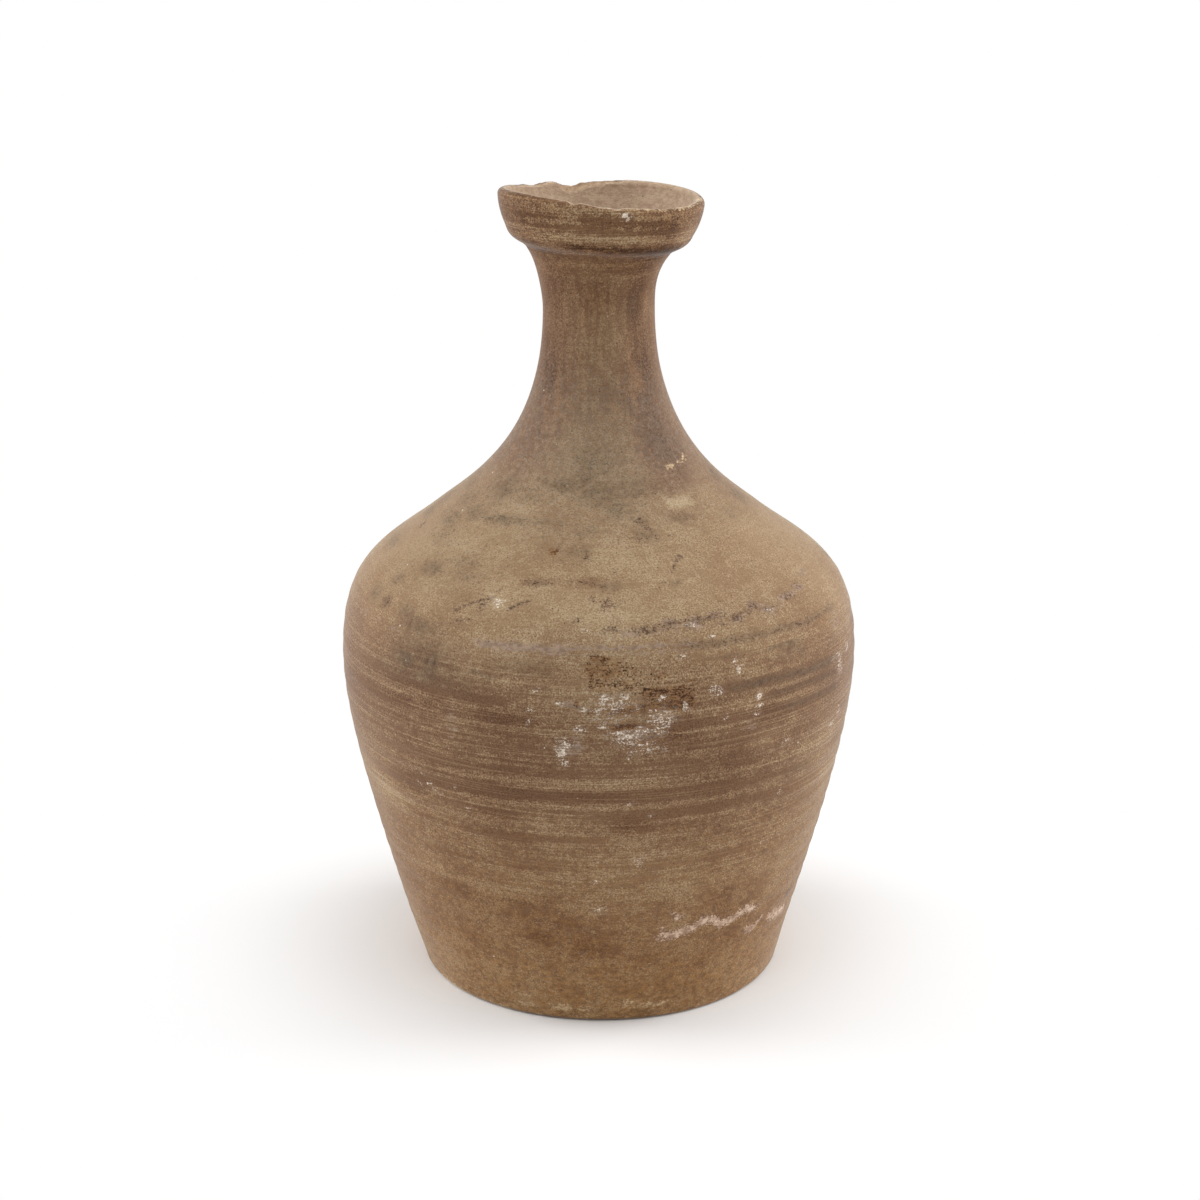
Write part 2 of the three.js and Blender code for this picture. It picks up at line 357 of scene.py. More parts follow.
def uneven(skin, size, seed):
    """Smooth values from -1 to 1 that change over the size, in mm, which may differ in x, y and z."""
    places = skin.points / np.asarray(size, float) + SEED_SHIFT * seed
    corner = np.floor(places).astype(int)
    share = places - corner
    share = share * share * (3 - 2 * share)
    total = np.zeros(len(places))
    for step in np.ndindex(2, 2, 2):
        weight = np.prod(np.where(step, share, 1 - share), axis=1)
        total += weight * lattice[tuple(((corner + step) % LATTICE).T)]
    return total


def wander(skin, waves):
    """The sum of several uneven values, each with a size, a reach and a seed."""
    return sum(reach * uneven(skin, size, seed) for size, reach, seed in waves)


print("lattice of", lattice.size, "random values")

# %% [markdown]
# ## Soft passages
# Nothing on clay starts or stops sharply. A zone rises and falls in even passages, a mark fades away
# from its middle, and a distance round the jug is always taken the short way. Three small curves do
# this for every later step, as a falloff does in the editor's proportional editing.

# %% Passages, zones and fading
def smooth(value, low, high):
    """0 below low, 1 above high, and an even passage between them."""
    share = np.clip((value - low) / (high - low), 0, 1)
    return share * share * (3 - 2 * share)


def zone(value, start, end):
    """1 between two passages, and 0 before the first and after the second."""
    return smooth(value, *start) * (1 - smooth(value, *end))


def fade(distance, size, edge=2):
    """1 in the middle, falling away at the size: softly, or steeply for a high edge."""
    return np.exp(-np.abs(distance / size) ** edge)


def gap(skin, turn):
    """Turn in degrees from a place on the jug, the short way round."""
    return (skin.turn - turn + 180) % 360 - 180


print("a mark keeps", round(float(fade(1, 1)), 2), "of its strength at its size")

# %% [markdown]
# ## Marks on the map of the jug
# A spot is placed by its turn, level, half width and half height, and may have a steep edge. A line
# has a thickness and follows a course of turns and levels from left to right. Each mark has a kind, such
# as lime or ash, and its strength is about the share of the clay that it covers. Dirt has ragged edges,
# so the map is crumpled by a millimetre or two before dirt is placed on it. The lines that the potter
# drew stay smooth. Painting all this by hand would tie it to one mesh, and a table doesn't.

# %% Spots and lines
RAGGED_ASIDE = ((8, 1.0, 31), (3.2, 1.2, 32))
RAGGED_UPWARD = ((8, 0.5, 33), (3.2, 0.7, 34))
NARROWEST = 20  # mm, so that a wander near the axis is no large turn
LINE_END, LINE_END_SHARE = 4, 5


def crumple(skin):
    """The map of the skin with turns and levels that wander by a few millimetres."""
    aside = np.degrees(wander(skin, RAGGED_ASIDE) / np.maximum(skin.radius, NARROWEST))
    return SimpleNamespace(radius=skin.radius, turn=skin.turn + aside,
                           level=skin.level + wander(skin, RAGGED_UPWARD))


def spot_mark(skin, turn, level, wide, high, strength, edge=2):
    """A round or oval mark."""
    across = np.radians(gap(skin, turn)) * skin.radius
    return strength * fade(across, wide, edge) * fade(skin.level - level, high, edge)


def line_mark(skin, thick, strength, course):
    """A drawn mark that runs out over a few degrees at its ends, or over a fifth of a short line."""
    turns, levels = np.array(course, float).T
    turn = gap(skin, 0)
    soft = min(LINE_END, (turns[-1] - turns[0]) / LINE_END_SHARE)
    ends = zone(turn, (turns[0] - soft, turns[0] + soft / 2), (turns[-1] - soft / 2, turns[-1] + soft))
    return strength * ends * fade(skin.level - np.interp(turn, turns, levels), thick)


DRAWN = {}
SPOTS = {}
LINES = {}
print("one degree is", round(math.radians(1) * BELLY.radius, 1), "mm on the belly")

# %% [markdown]
# ### Furrows
# A furrow is a band where the potter's wet fingers drew iron to the surface as the wheel turned, so it
# fired dark. Each is a line: thickness in mm, strength, and its course of turns and levels. They could be
# even rings, but on the real jug they sag, break off and start again.

# %% Dark furrows
DRAWN["furrow"] = [
    (2.9, .34, [(-60, 119.5), (-45, 121.5), (-36, 125.6), (-26, 125.8), (-16, 126.8), (-6, 126.9),
        (4, 126.8), (18, 127.2), (33, 127)]),
    (2, .28, [(-56, 135.6), (-46, 137.2), (-36, 137.6), (-26, 137.6), (-16, 138.4), (-5, 138.6)]),
    (1.6, .16, [(-57, 145.5), (-42, 146)]), (1.9, .22, [(-62, 159.6), (-44, 160.2)]),
    (2.6, .2, [(-50, 170.5), (-34, 170.5), (-20, 171.5)]),
    (2.4, .2, [(-34, 163), (-25, 163), (-14, 164)]), (.8, .22, [(-36, 116), (-18, 117)]),
    (.8, .22, [(-42, 112.7), (-29, 112.7)]), (.9, .22, [(-23, 118.2), (-8, 119.4), (2, 119)]),
    (1.3, .16, [(-49, 103.6), (-35, 103.2)]),
    (1.8, .24, [(-32, 102.6), (-20, 103.4), (-10, 104.4), (1, 104.2)]),
    (2.6, .18, [(-19, 88.5), (-10, 88.8)]), (1.4, .12, [(-46, 86), (-30, 87)]),
    (2.3, .32, [(27, 175.6), (35, 174.6), (43, 174.2), (51, 173.2), (61, 171.8)]),
    (1.7, .28, [(37, 167), (50, 167.4), (62, 165.8)]), (3.2, .22, [(16, 161.8), (26, 161.6), (36, 161)]),
    (2.2, .28, [(40, 159.8), (52, 158.8), (64, 157.4)]),
    (1.3, .28, [(20, 149.9), (32, 148.9), (42, 147.8)]), (1, .14, [(28, 153.4), (42, 153)]),
    (.8, .18, [(0, 143.4), (17, 143.2)]), (.9, .18, [(27, 137.6), (37, 137.2)]),
    (1.6, .14, [(38, 146.4), (54, 145)]), (2, .24, [(33, 126.8), (40, 126), (48, 125), (55, 123.4)]),
    (2.8, .3, [(0, 117.4), (14, 116.8), (24, 117), (34, 117.2), (43, 115.8), (52, 115), (60, 114)]),
    (1.2, .18, [(40, 105), (57, 103.4)]), (1.7, .28, [(11, 89.4), (25, 90), (37, 90.4)]),
    (.7, .14, [(-1, 90), (12, 89.8)]), (1.1, .16, [(7, 82.8), (15, 82.8)]),
    (1.1, .2, [(20, 189.6), (28, 189.2), (36, 189)]),
    (.9, .28, [(-54, 371.6), (-40, 372.8), (-25, 373.7)]),
    (2, .24, [(-9, 374.2), (2, 374.6), (14, 373.6)]), (1.2, .26, [(14, 374.9), (28, 374.6), (43, 374.1)]),
    (1.6, .3, [(-40, 367.8), (-10, 369.6), (10, 369.4), (27, 369.9), (50, 369.9)])]
print("furrows:", len(DRAWN["furrow"]))

# %% [markdown]
# ### Ridges
# Between the furrows the clay stood dry and fired tan. The ridges are drawn in the same way, only
# narrower, and the last two run round the dish.

# %% Tan ridges
DRAWN["ridge"] = [
    (.9, .26, [(-64, 168.2), (-50, 168.2), (-39, 168.6)]), (.8, .22, [(-50, 165), (-42, 165.4)]),
    (.8, .2, [(-44, 141.2), (-30, 141), (-16, 142)]), (.7, .2, [(-18, 139.3), (-9, 139.6)]),
    (1.6, .2, [(-24, 133), (-10, 133.4), (3, 132.8)]), (1.5, .18, [(-36, 132.2), (-27, 132.2)]),
    (.8, .24, [(-21, 130.6), (-8, 131.3), (3, 131.4)]),
    (1.2, .2, [(-32, 121.8), (-16, 122), (-10, 121.8), (-2, 122)]),
    (.7, .26, [(-24, 119.3), (-10, 120.2), (-1, 120.7)]), (.8, .16, [(-36, 101.2), (-24, 101.4)]),
    (1, .26, [(37, 170.6), (46, 170.4), (54, 170)]), (.9, .26, [(39, 164.2), (47, 164), (55, 163.6)]),
    (.8, .26, [(-2, 157.6), (10, 157.6), (28, 157.2)]), (1, .24, [(-3, 165.3), (6, 165.6), (12, 166)]),
    (1, .26, [(2, 121.8), (16, 121.8), (30, 121.9), (43, 121.4)]), (.9, .2, [(9, 113.6), (20, 113.8)]),
    (.8, .14, [(3, 131.5), (20, 131.6), (30, 131.4)]), (1, .14, [(-57, 71.8), (-41, 71.8)]),
    (.8, .16, [(-40, 73.4), (-11, 74)]), (.8, .16, [(-31, 68.4), (-16, 68.8)]),
    (1.8, .2, [(-58, 363.8), (-20, 365.4), (20, 365.6), (58, 365.4)]),
    (1.5, .14, [(-60, 368.6), (-30, 371), (-12, 372)])]
print("ridges:", len(DRAWN["ridge"]))

# %% [markdown]
# ### Dark and pale patches
# The kiln's fire touched the clay unevenly. These spots make it darker or paler without a coat of their
# own: turn, level, half width and half height in mm, strength, and for some a steeper edge. A broad
# noise would give such patches anywhere, and these lie where the real ones are. The one dark line, and
# the dark spot at level 352 on the right, are painted shadow under the corner of the dish.

# %% Darker and paler clay, and painted shadow under the dish
SPOTS["dark"] = [
    (-51, 118.5, 20, 5, .06), (-38, 66, 17, 4.5, .13), (-32.5, 65.5, 6, 4, .09), (-23, 66.6, 14, 3, .1),
    (-13.5, 70, 5, 4, .12), (-12, 58.5, 10, 4, .12), (-14.5, 46, 9, 9, .14), (-3.5, 43, 12, 6.5, .14),
    (-32, 35, 10, 3, .05), (-1, 15.5, 6, 2.5, .08), (18, 65, 4, 4, .06), (32, 58.5, 11, 3.5, .06),
    (29.5, 27, 3, 7, .11), (19, 34, 12, 5, .09), (9, 16.6, 9, 1.6, .07), (34, 67, 3.5, 4.5, .07),
    (-40, 166, 30, 8, .11), (-20, 164, 22, 7, .12), (-41, 186, 26, 13, .16), (-28, 172, 24, 5, .1),
    (-22, 180, 20, 8, .08), (-18, 187, 28, 6, .1), (0, 127, 26, 4, .11), (6, 112, 12, 6, .18),
    # (20, 352) just under the dish's root is painted shadow of the dish
    (20, 352, 14, 5, .08), (0, 336, 14, 9, .09), (3.5, 217.4, 7, 2.4, .06), (50, 303, 8, 9, .06),
    (38, 160, 10, 5, .1), (26.5, 106.5, 4.2, 2, .1), (31.5, 101.5, 4, 1.6, .07), (2, 102, 8, 3, .06),
    (-43, 98, 8, 2.5, .05), (-16, 88.5, 10, 3, .06), (43.5, 84.5, 2.5, 1.2, .1), (8, 150, 20, 5, .05),
    (18, 148.5, 5, 3, .07), (-18, 218.2, 7, 1.8, .14), (-13, 218.8, 5, 1.6, .1), (-3, 219, 11, 1.8, .13),
    (5, 219, 6, 1.4, .07), (-39, 220, 14, 3.5, .06), (14.8, 234, 4, 3, .07), (36, 239, 8, 2.4, .07),
    (33, 250.5, 10, 3, .06), (-51, 216.5, 9, 3, .08), (-44, 196.5, 16, 5, .13), (-36, 194, 14, 6, .1),
    (-58, 200, 3.5, 2.6, .08), (-56, 293, 8, 10, .06), (36, 331, 5, 12, .07), (35, 284, 9, 9, .05),
    (50, 268, 16, 13, .08)]
# the dark line just below the corner of the dish is painted shadow of the dish
LINES["dark"] = [
    (1.7, .32, [(-22, 360.6), (0, 360.6), (26, 360), (60, 359.4)])]
SPOTS["pale"] = [
    (40, 244.6, 8.4, 2.6, .22, 5), (50, 243, 10, 1.2, .08), (4, 178, 24, 9, .15), (-5, 213, 24, 9, .04),
    (44, 216, 26, 14, .06), (30, 222, 30, 10, .03), (-72, 222, 30, 12, .04), (-25, 210.5, 4.5, 2.5, .16),
    (0, 190, 90, 4, .05), (58, 246, 10, 6, .06), (-54, 108, 16, 5, .09), (-50, 20, 18, 14, .06),
    (-58, 7, 14, 6, .1), (62, 369, 12, 9, .2), (-48, 376, 14, 4, .08), (-62, 347, 10, 9, .1),
    (62, 347, 10, 9, .12), (60, 333, 8, 9, .1), (0, 266, 16, 8, .05), (38, 146, 10, 5, .11),
    (-14, 112, 10, 5, .1), (-40, 112, 30, 5, .05), (48, 78, 22, 8, .06), (.5, 65.5, 2.6, 2.4, .16)]
print("dark patches:", len(SPOTS["dark"]), "and pale ones:", len(SPOTS["pale"]))

# %% [markdown]
# ### Ash
# Fly ash settled on the shoulder in the kiln, in grey clouds, and in some of the furrows. A mask by the
# way the wall faces would dust the whole shoulder evenly. The real clouds are patchy, so each one is a
# spot, and most lie between the belly and the neck.

# %% Clouds of ash
SPOTS["ash"] = [
    (-50, 248, 14, 8, .52), (-38.5, 237.5, 9, 2.6, .66), (-46, 237, 9, 2.4, .6), (-65, 232, 14, 5, .52),
    (-18, 253, 12, 4, .58), (-7, 256, 8, 4, .52), (-31, 238, 10, 2.4, .52), (-20, 238.5, 16, 2, .46),
    (-58, 238, 10, 3, .46), (-68, 240, 12, 5, .42), (-60, 226, 16, 7, .42), (-51, 216.6, 12, 4, .56),
    (-42, 221, 14, 4, .44), (-50, 220, 46, 20, .28), (-20, 236, 40, 10, .24), (-54, 237.5, 14, 4, .5),
    (-60, 209, 7, 4, .5), (-64.5, 201, 8, 5, .5), (-49.5, 200, 9, 4.5, .5), (-38, 217, 14, 3, .42),
    (-4.7, 229, 6, 4.5, .42), (3.5, 217.6, 8, 2.2, .5), (-15.5, 218.2, 7, 1.8, .46),
    (22, 217.6, 4, 1.5, .5), (19, 235, 8, 4, .48), (47, 186, 8, 3, .5), (-8, 229, 12, 4, .34),
    (9, 244, 12, 6, .52), (2, 250, 18, 7, .52), (18, 252, 14, 7, .45), (18, 239.5, 5, 2.2, .58),
    (-32, 248, 16, 6, .36), (36, 239, 10, 2.6, .46), (62, 236, 12, 4, .36), (-3, 262, 14, 8, .46),
    (-4, 236, 14, 3, .4), (-45.5, 181, 12, 8, .62), (-38, 182, 10, 11, .6), (-40, 176, 16, 6, .5),
    (-41, 187, 27, 12, .44), (-33, 178, 22, 9, .38), (-50, 174, 18, 6, .36), (-17, 188, 20, 5, .34),
    (-25.5, 182.3, 7, 1, .6), (-22.5, 181.4, 4, .9, .6), (-17.5, 188.5, 6, 2, .35),
    (-58, 200, 6, 3.5, .5), (-43, 196, 16, 5, .55), (-41.3, 196.8, 4, 2.4, .65),
    (44.5, 188.3, 13, 1, .6, 4), (49, 184, 2.2, 2.8, .6), (44, 184, 10, 3, .3), (28.5, 189.4, 12, 1, .42),
    (31.5, 175.3, 6.5, 2.2, .6), (36, 331, 5, 10, .35), (18, 288, 10, 9, .25), (42, 270, 12, 12, .3),
    (50, 124.6, 11, 2.2, .45), (43.5, 84.5, 2.6, 1, .6), (-47, 85, 14, 4, .2)]
LINES["ash"] = [
    (2.4, .6, [(28, 175.3), (35, 174.5), (43, 174), (51, 173.2), (61, 171.8)]),
    (1.8, .5, [(39, 167), (50, 167.4), (62, 165.8)]), (2.2, .5, [(42, 159.8), (52, 158.8), (64, 157.4)]),
    (2.1, .46, [(19, 195.3), (32, 195), (41, 195), (52, 193.8), (67, 194.4)])]
print("ash:", len(SPOTS["ash"]), "clouds and", len(LINES["ash"]), "lines")

# %% [markdown]
# ### Soot and crumbs
# A tide line of dark crumbs runs round the shoulder on the right, with scratches and pocks above it and
# a few low on the body. They are spots of a few millimetres, and not a noise with a threshold, which
# would scatter crumbs all over.

# %% Soot on the shoulder
SPOTS["soot"] = [
    (-28.2, 208.4, 2.6, 2.2, .66), (-27.4, 209.8, 2, 1, .6), (-25.7, 214.6, 1.4, .9, .6),
    (-1, 213.7, 1.8, 1.2, .75), (-4.9, 206.4, 1.6, 1.4, .6), (-2.7, 227.5, 2.2, .7, .65),
    (2.5, 212, 3.6, 1.9, .62), (6.3, 212.9, 1, .8, .7), (26.5, 226, 2, 1.1, .85),
    (24.8, 230.3, .9, .6, .6), (26.8, 233, 1.8, .7, .5), (17.8, 239.8, 3.4, 1.2, .62),
    (20.6, 236.8, 1.5, 1.1, .6), (22.3, 233.8, .9, .7, .6), (22.5, 217.5, 2.4, .9, .5),
    (6.4, 233, 1.9, .8, .45), (14.8, 234, 4, 2.6, .3), (-18, 218.2, 6.5, 1.7, .36),
    (-13, 218.8, 4.5, 1.4, .3), (-3, 219.2, 10, 1.6, .34), (3, 203, 5, 1.5, .66),
    (11, 202.6, 7, 1.6, .72), (17, 204.4, 7, 1.8, .78), (22.6, 204, 5.6, 2.1, .8),
    (28, 204.9, 4.6, 2, .8), (29.5, 201.5, 1.8, .9, .7), (33.4, 203.6, 4.2, 2, .82),
    (37, 204.2, 3, 1.2, .7), (40.3, 205.7, 4, 1.5, .8), (43.8, 203.6, 5, 2.1, .82),
    (51.8, 205.4, 5, 1.8, .78), (58, 206.8, 3, 1.4, .6), (-57.5, 200.5, 2.4, 1.6, .5),
    (64, 46, 4, 2.4, .8), (64, 36, 5, 3, .45), (-4.4, 40.3, 1.2, .9, 1)]
LINES["soot"] = [
    (.8, .55, [(-36, 205.4), (-34, 207), (-31, 209), (-28.6, 210.4), (-26, 211.4)]),
    (.8, .72, [(-21.2, 208.8), (-17.3, 212.2)]), (.7, .7, [(21.8, 221.5), (25.7, 225)]),
    (.7, .5, [(3.2, 226), (5.4, 223)]), (.7, .45, [(15.8, 215.2), (19.3, 218.3)]),
    (1.2, .45, [(-38, 199.5), (-30, 203)]),
    (1.3, .34, [(20, 195.2), (32, 195), (41, 195), (52, 193.6), (66, 194.4)])]
print("soot:", len(SPOTS["soot"]), "crumbs and", len(LINES["soot"]), "lines")

# %% [markdown]
# ### Crust and lime
# Years in the ground left a brown crust on the belly, with dark strokes at its rims, and white lime in
# and around it. Crust and lime are two kinds, because one is brown and thin and the other white and
# raised. Single grains of lime sit elsewhere on the belly and on the lip.

# %% The residue on the belly
SPOTS["crust"] = [
    (2.9, 184.5, 10, 8.2, .38, 6), (-1.6, 184.5, 1.1, 8, .62, 4), (.6, 192, 4.4, .8, .8, 4),
    (9, 184, 18, 7, .3), (13.6, 173.2, 12.6, 5.2, .7, 8), (19.3, 172.8, 1.3, 5, 1.2, 4),
    (13.8, 178.3, 12.4, .8, .85, 4), (12.6, 183.6, 2.3, 2.3, .8), (-4, 172.6, 1.4, 1.4, 1),
    (-2, 168.5, 1.2, 1.2, .8), (5.5, 169.5, 10, 2.6, .8), (8, 166, 20, 14, .33, 4),
    (4.8, 162.4, 6.5, 1, 1.35, 4), (12, 163.6, 7, 1.2, .55), (8, 153, 14, 4.5, .6), (15, 157, 6, 5, .62),
    (17.8, 166.2, 1.4, 1.4, .8), (19.4, 181, 1.6, .8, .8)]
LINES["crust"] = [
    (.8, 1, [(-14.8, 228.7), (-12.6, 230.2)])]
SPOTS["lime"] = [
    (4, 169, 13, 6, .16, 4), (1.2, 174.6, 1.6, 2, .9), (5.5, 175.8, 1.7, 1.4, .9),
    (.3, 170.4, 1.7, 1.3, .9), (-2.9, 169.8, 1.3, 1.4, .85), (3.5, 172.6, 7, 3, .5),
    (13, 174.6, 2, 1.6, .6), (12.6, 164.8, 6, 4.4, .48), (13.6, 162.4, 4, 1.6, .5),
    (10.9, 168.6, 1.4, 1.3, .85), (7.6, 159.4, 13, 1.7, .5, 4), (5.6, 158.6, 7, 1.6, .62),
    (5, 155, 8, 2, .48), (9, 152, 10, 3, .38), (-4, 161, 2.6, 1.6, .85), (.8, 162, 2.2, 1.2, .7),
    (-7.6, 149, 2.2, 2.4, 1.05), (-7.1, 144.4, 2, 1.3, .8), (-7, 153.6, 4, 2.2, .48),
    (-8, 173, 1.6, 1.2, .55), (24.8, 175.4, 2.4, 1.9, .85), (26.2, 173.4, 1.6, 1, .75),
    (18, 169.6, .9, 2.2, .9), (18.4, 168, 1.4, .7, .9), (27, 161.6, 1, 1, .6), (18.6, 191.2, 1.8, 1, .7),
    (30, 186.5, 1, 1.8, .75), (30.8, 182.4, 1.4, 2, .95), (35.8, 168.6, 1.5, 1.7, .9),
    (35.6, 163.8, 1.5, 1.1, .9), (35.2, 160.6, 1.2, 1.3, .5), (63, 172, 4, 1.2, .55),
    (65.4, 166.8, 3, 2.2, .5), (63, 138, 3, 1.6, .55), (71, 172, 2, 3, .5), (66, 143, 1.6, 2, .4),
    (43.4, 142.8, 3, 1.2, .35), (44.4, 115, 1.4, 1.6, .45), (26, 198, 1.2, .7, .7),
    (22, 203.2, 3, .9, .42), (44, 203, 3, .9, .36), (-2, 203.4, 2, .9, .4), (-24.2, 210.4, 2, 1.6, .6),
    (-41.6, 126.8, .9, .8, .75), (-43.4, 121.6, .9, .8, .7), (-39.9, 122.8, .9, .8, .7),
    (-38.6, 121, .9, 1, .7), (-32.7, 123.6, .9, .8, .9), (-30.4, 114.6, .8, .8, .7),
    (-13, 178.2, 1.5, .8, .8), (-14, 168.6, .9, .8, .9), (-14, 163.2, .9, .8, .8), (9, 92, 2.4, 3, .3),
    (7.4, 84, 1.2, 1.4, .35), (.5, 65.6, 2.6, 2.2, .24), (-1.4, 81, 1.1, 1, .85),
    (7.3, 123.6, 1.4, .9, .5), (11.4, 117, 1.2, .8, .7), (41.5, 89.6, 1.4, 1, .4),
    (13.2, 377.8, .9, 1, 2.2, 4), (14.7, 375.9, .6, 1, 2, 4), (17, 377.4, .9, .8, .9)]
print("crust:", len(SPOTS["crust"]), "and lime:", len(SPOTS["lime"]))

# %% [markdown]
# ### Slip and the scar
# Slip is the runny clay that glued the sections together. It was smeared along the joint of the shoulder
# and left in brushed patches on the belly. The scar low on the right is a flaw that opened in the
# fire: a pale wavy seam, so it is drawn as lines with many points.

# %% Smeared slip and the open seam
SPOTS["slip"] = [
    (8, 158, 16, 4.5, .85), (13, 165, 7, 5, .8), (-6, 152, 7, 8, .75), (-5, 172, 8, 3, .65),
    (5, 172, 8, 3, .6), (-32, 157, 3.5, 8, .6), (65, 166, 5, 9, .7), (33, 155, 5, 2.4, .6),
    (43, 141, 6, 2.5, .5), (17, 204.2, 6, 2, .8), (23, 203.6, 6, 2.2, .95), (28, 204.4, 5, 2.2, .9),
    (33.6, 203.2, 4.4, 2.2, .95), (40.4, 205.2, 4.4, 1.8, .9), (44, 203.2, 5.4, 2.2, .95),
    (51.6, 205, 5.4, 1.8, .85), (58, 207, 5, 1.8, .8), (65, 209.6, 5, 2, .8), (8, 202.6, 8, 1.8, .7),
    (-26, 211, 5, 3, .5), (66, 190, 6, 9, .5)]
LINES["slip"] = [
    (2.2, 1.1, [(-27, 194.6), (-17, 195.2), (-6, 195.2)]),
    (2.3, .75, [(-7, 195.6), (9, 196), (22, 195.8)]),
    (1.8, .55, [(-74, 190.6), (-66, 191.6), (-56, 192.2), (-49, 191.6)]),
    (1.6, .55, [(1, 202.4), (20, 203.4), (30, 203.4), (45, 203.4), (62, 207)])]
LINES["scar"] = [
    (1.6, 1, [(16.4, 54), (17.1, 49.5), (18.1, 47.6)]), (2.2, 1, [(17.2, 48), (19.9, 48.6), (21.5, 48.4),
        (22.6, 50.4), (24, 49.8), (25.7, 51.2), (27, 53), (29.3, 53.2), (31.2, 52.2), (32.6, 49.4),
        (33.8, 48.2), (35.3, 49.9), (37.7, 50.2), (39.8, 51.6), (42.4, 53.4), (44, 52.4), (45.3, 51.4)]),
    (1.7, 1, [(43.7, 39.8), (46.6, 38.2), (48.1, 39.4), (49.6, 42.6)]),
    (2.6, 1, [(55, 40.4), (59, 38.8), (64, 37.2)]), (1.4, .85, [(18.2, 61), (19.4, 58.8), (21.4, 58.4)])]
print("slip:", len(SPOTS["slip"]) + len(LINES["slip"]), "and scar:", len(LINES["scar"]))

# %% [markdown]
# ### Wear, rust and warmth
# The foot is rubbed pale where it was set down, and three pale nicks sit under the neck. Rust runs down
# the wiped neck in short stains. Warm marks are places where the fire left the clay more ochre, such as
# the whole foot: a spot that is wider than the jug goes all the way round.

# %% Rubbed, rusty and warm places
SPOTS["rub"] = [
    (-23, 5.6, 5, 1.6, .95), (-12, 7.2, 6, 2.2, 1.05), (-4.6, 7, 4, 1.6, .8), (8, 10, 5, 2, .7),
    (16, 8, 11, 1.5, .85), (55, 8, 10, 2.5, .5), (-36, 27, 4, 3, .3), (-23, 12, 7, 2, .5),
    (44.5, 257.9, 3, .9, .85, 4), (55, 258.8, 2.4, 1.3, .85, 4), (60.4, 259.6, 2, 1.3, .85, 4)]
SPOTS["rust"] = [
    (-40, 284, 9, 14, .55), (-16, 302, 12, 20, .4), (10, 284, 8, 14, .45), (32, 300, 8, 16, .4),
    (-62, 262, 12, 12, .4), (-3, 326, 14, 14, .5), (24, 268, 10, 10, .35), (48, 286, 7, 12, .3)]
SPOTS["warm"] = [
    (0, 5, 400, 8, .6), (-42, 334, 9, 10, .25), (0, 337, 12, 12, .32), (-49, 315, 8, 14, .2),
    (4, 318, 6, 20, .15), (55, 46, 6, 5, .5), (5, 345, 14, 6, .3), (-60, 200, 20, 14, .2),
    (2, 187, 12, 5, .6), (4, 180, 12, 3, .4), (28, 84, 1.4, 1.2, 1), (-15, 229, 1.8, 1.5, 1),
    (60, 193, 8, 5, .4)]
print("rubbed:", len(SPOTS["rub"]), "rusty:", len(SPOTS["rust"]), "warm:", len(SPOTS["warm"]))

# %% [markdown]
# ### The far side
# The back of the jug was never seen, so marks of the same kinds are scattered there at random, where such
# dirt would lie: ash and soot on the shoulder, lime and slip on the belly, wear at the foot. A seeded
# generator draws them, so the back is the same in every run.

# %% Scatter marks behind
FarMarks = namedtuple("FarMarks", "kind count levels wide high strengths")
FAR_MARKS = [FarMarks("ash", 26, (200, 258), (7, 16), (2, 6), (0.3, 0.55)),
             FarMarks("ash", 8, (160, 190), (8, 20), (2, 6), (0.3, 0.5)),
             FarMarks("soot", 22, (200, 240), (1, 4), (0.8, 1.8), (0.45, 0.8)),
             FarMarks("lime", 26, (90, 180), (0.9, 2.2), (0.8, 2), (0.6, 1.0)),
             FarMarks("slip", 8, (150, 197), (4, 10), (2, 4), (0.5, 0.9)),
             FarMarks("dark", 16, (20, 120), (6, 16), (3, 6), (0.05, 0.10)),
             FarMarks("rub", 8, (5, 12), (4, 10), (1.5, 3), (0.4, 0.7))]
FAR_TURNS = (80, 282)
scatter = np.random.default_rng(23)
for behind in FAR_MARKS:
    spans = (FAR_TURNS, behind.levels, behind.wide, behind.high, behind.strengths)
    SPOTS[behind.kind] += [[scatter.uniform(*span) for span in spans] for _ in range(behind.count)]
print("marks behind:", sum(behind.count for behind in FAR_MARKS))

# %% [markdown]
# ### All marks on the skin
# Where two marks of a kind overlap, the stronger one counts, because a cloud of ash is no thicker for
# being written as two spots. Adding them up would leave bright seams where they meet.

# %% Lay all marks on the map
KINDS = sorted({*SPOTS, *LINES})


def strongest(skin, marks):
    """The strongest of the marks at each point outside."""
    return skin.outside * np.max(marks, axis=0)


for skin in skins.values():
    ragged = crumple(skin)
    skin.marks = {}
    for kind in KINDS:
        marks = [spot_mark(ragged, *mark) for mark in SPOTS.get(kind, [])]
        marks += [line_mark(ragged, *mark) for mark in LINES.get(kind, [])]
        skin.marks[kind] = strongest(skin, marks)
    skin.drawn = {kind: strongest(skin, [line_mark(skin, *mark) for mark in marks])
                  for kind, marks in DRAWN.items()}
print("marks placed:", sum(map(len, SPOTS.values())), "spots and", sum(map(len, LINES.values())), "lines")
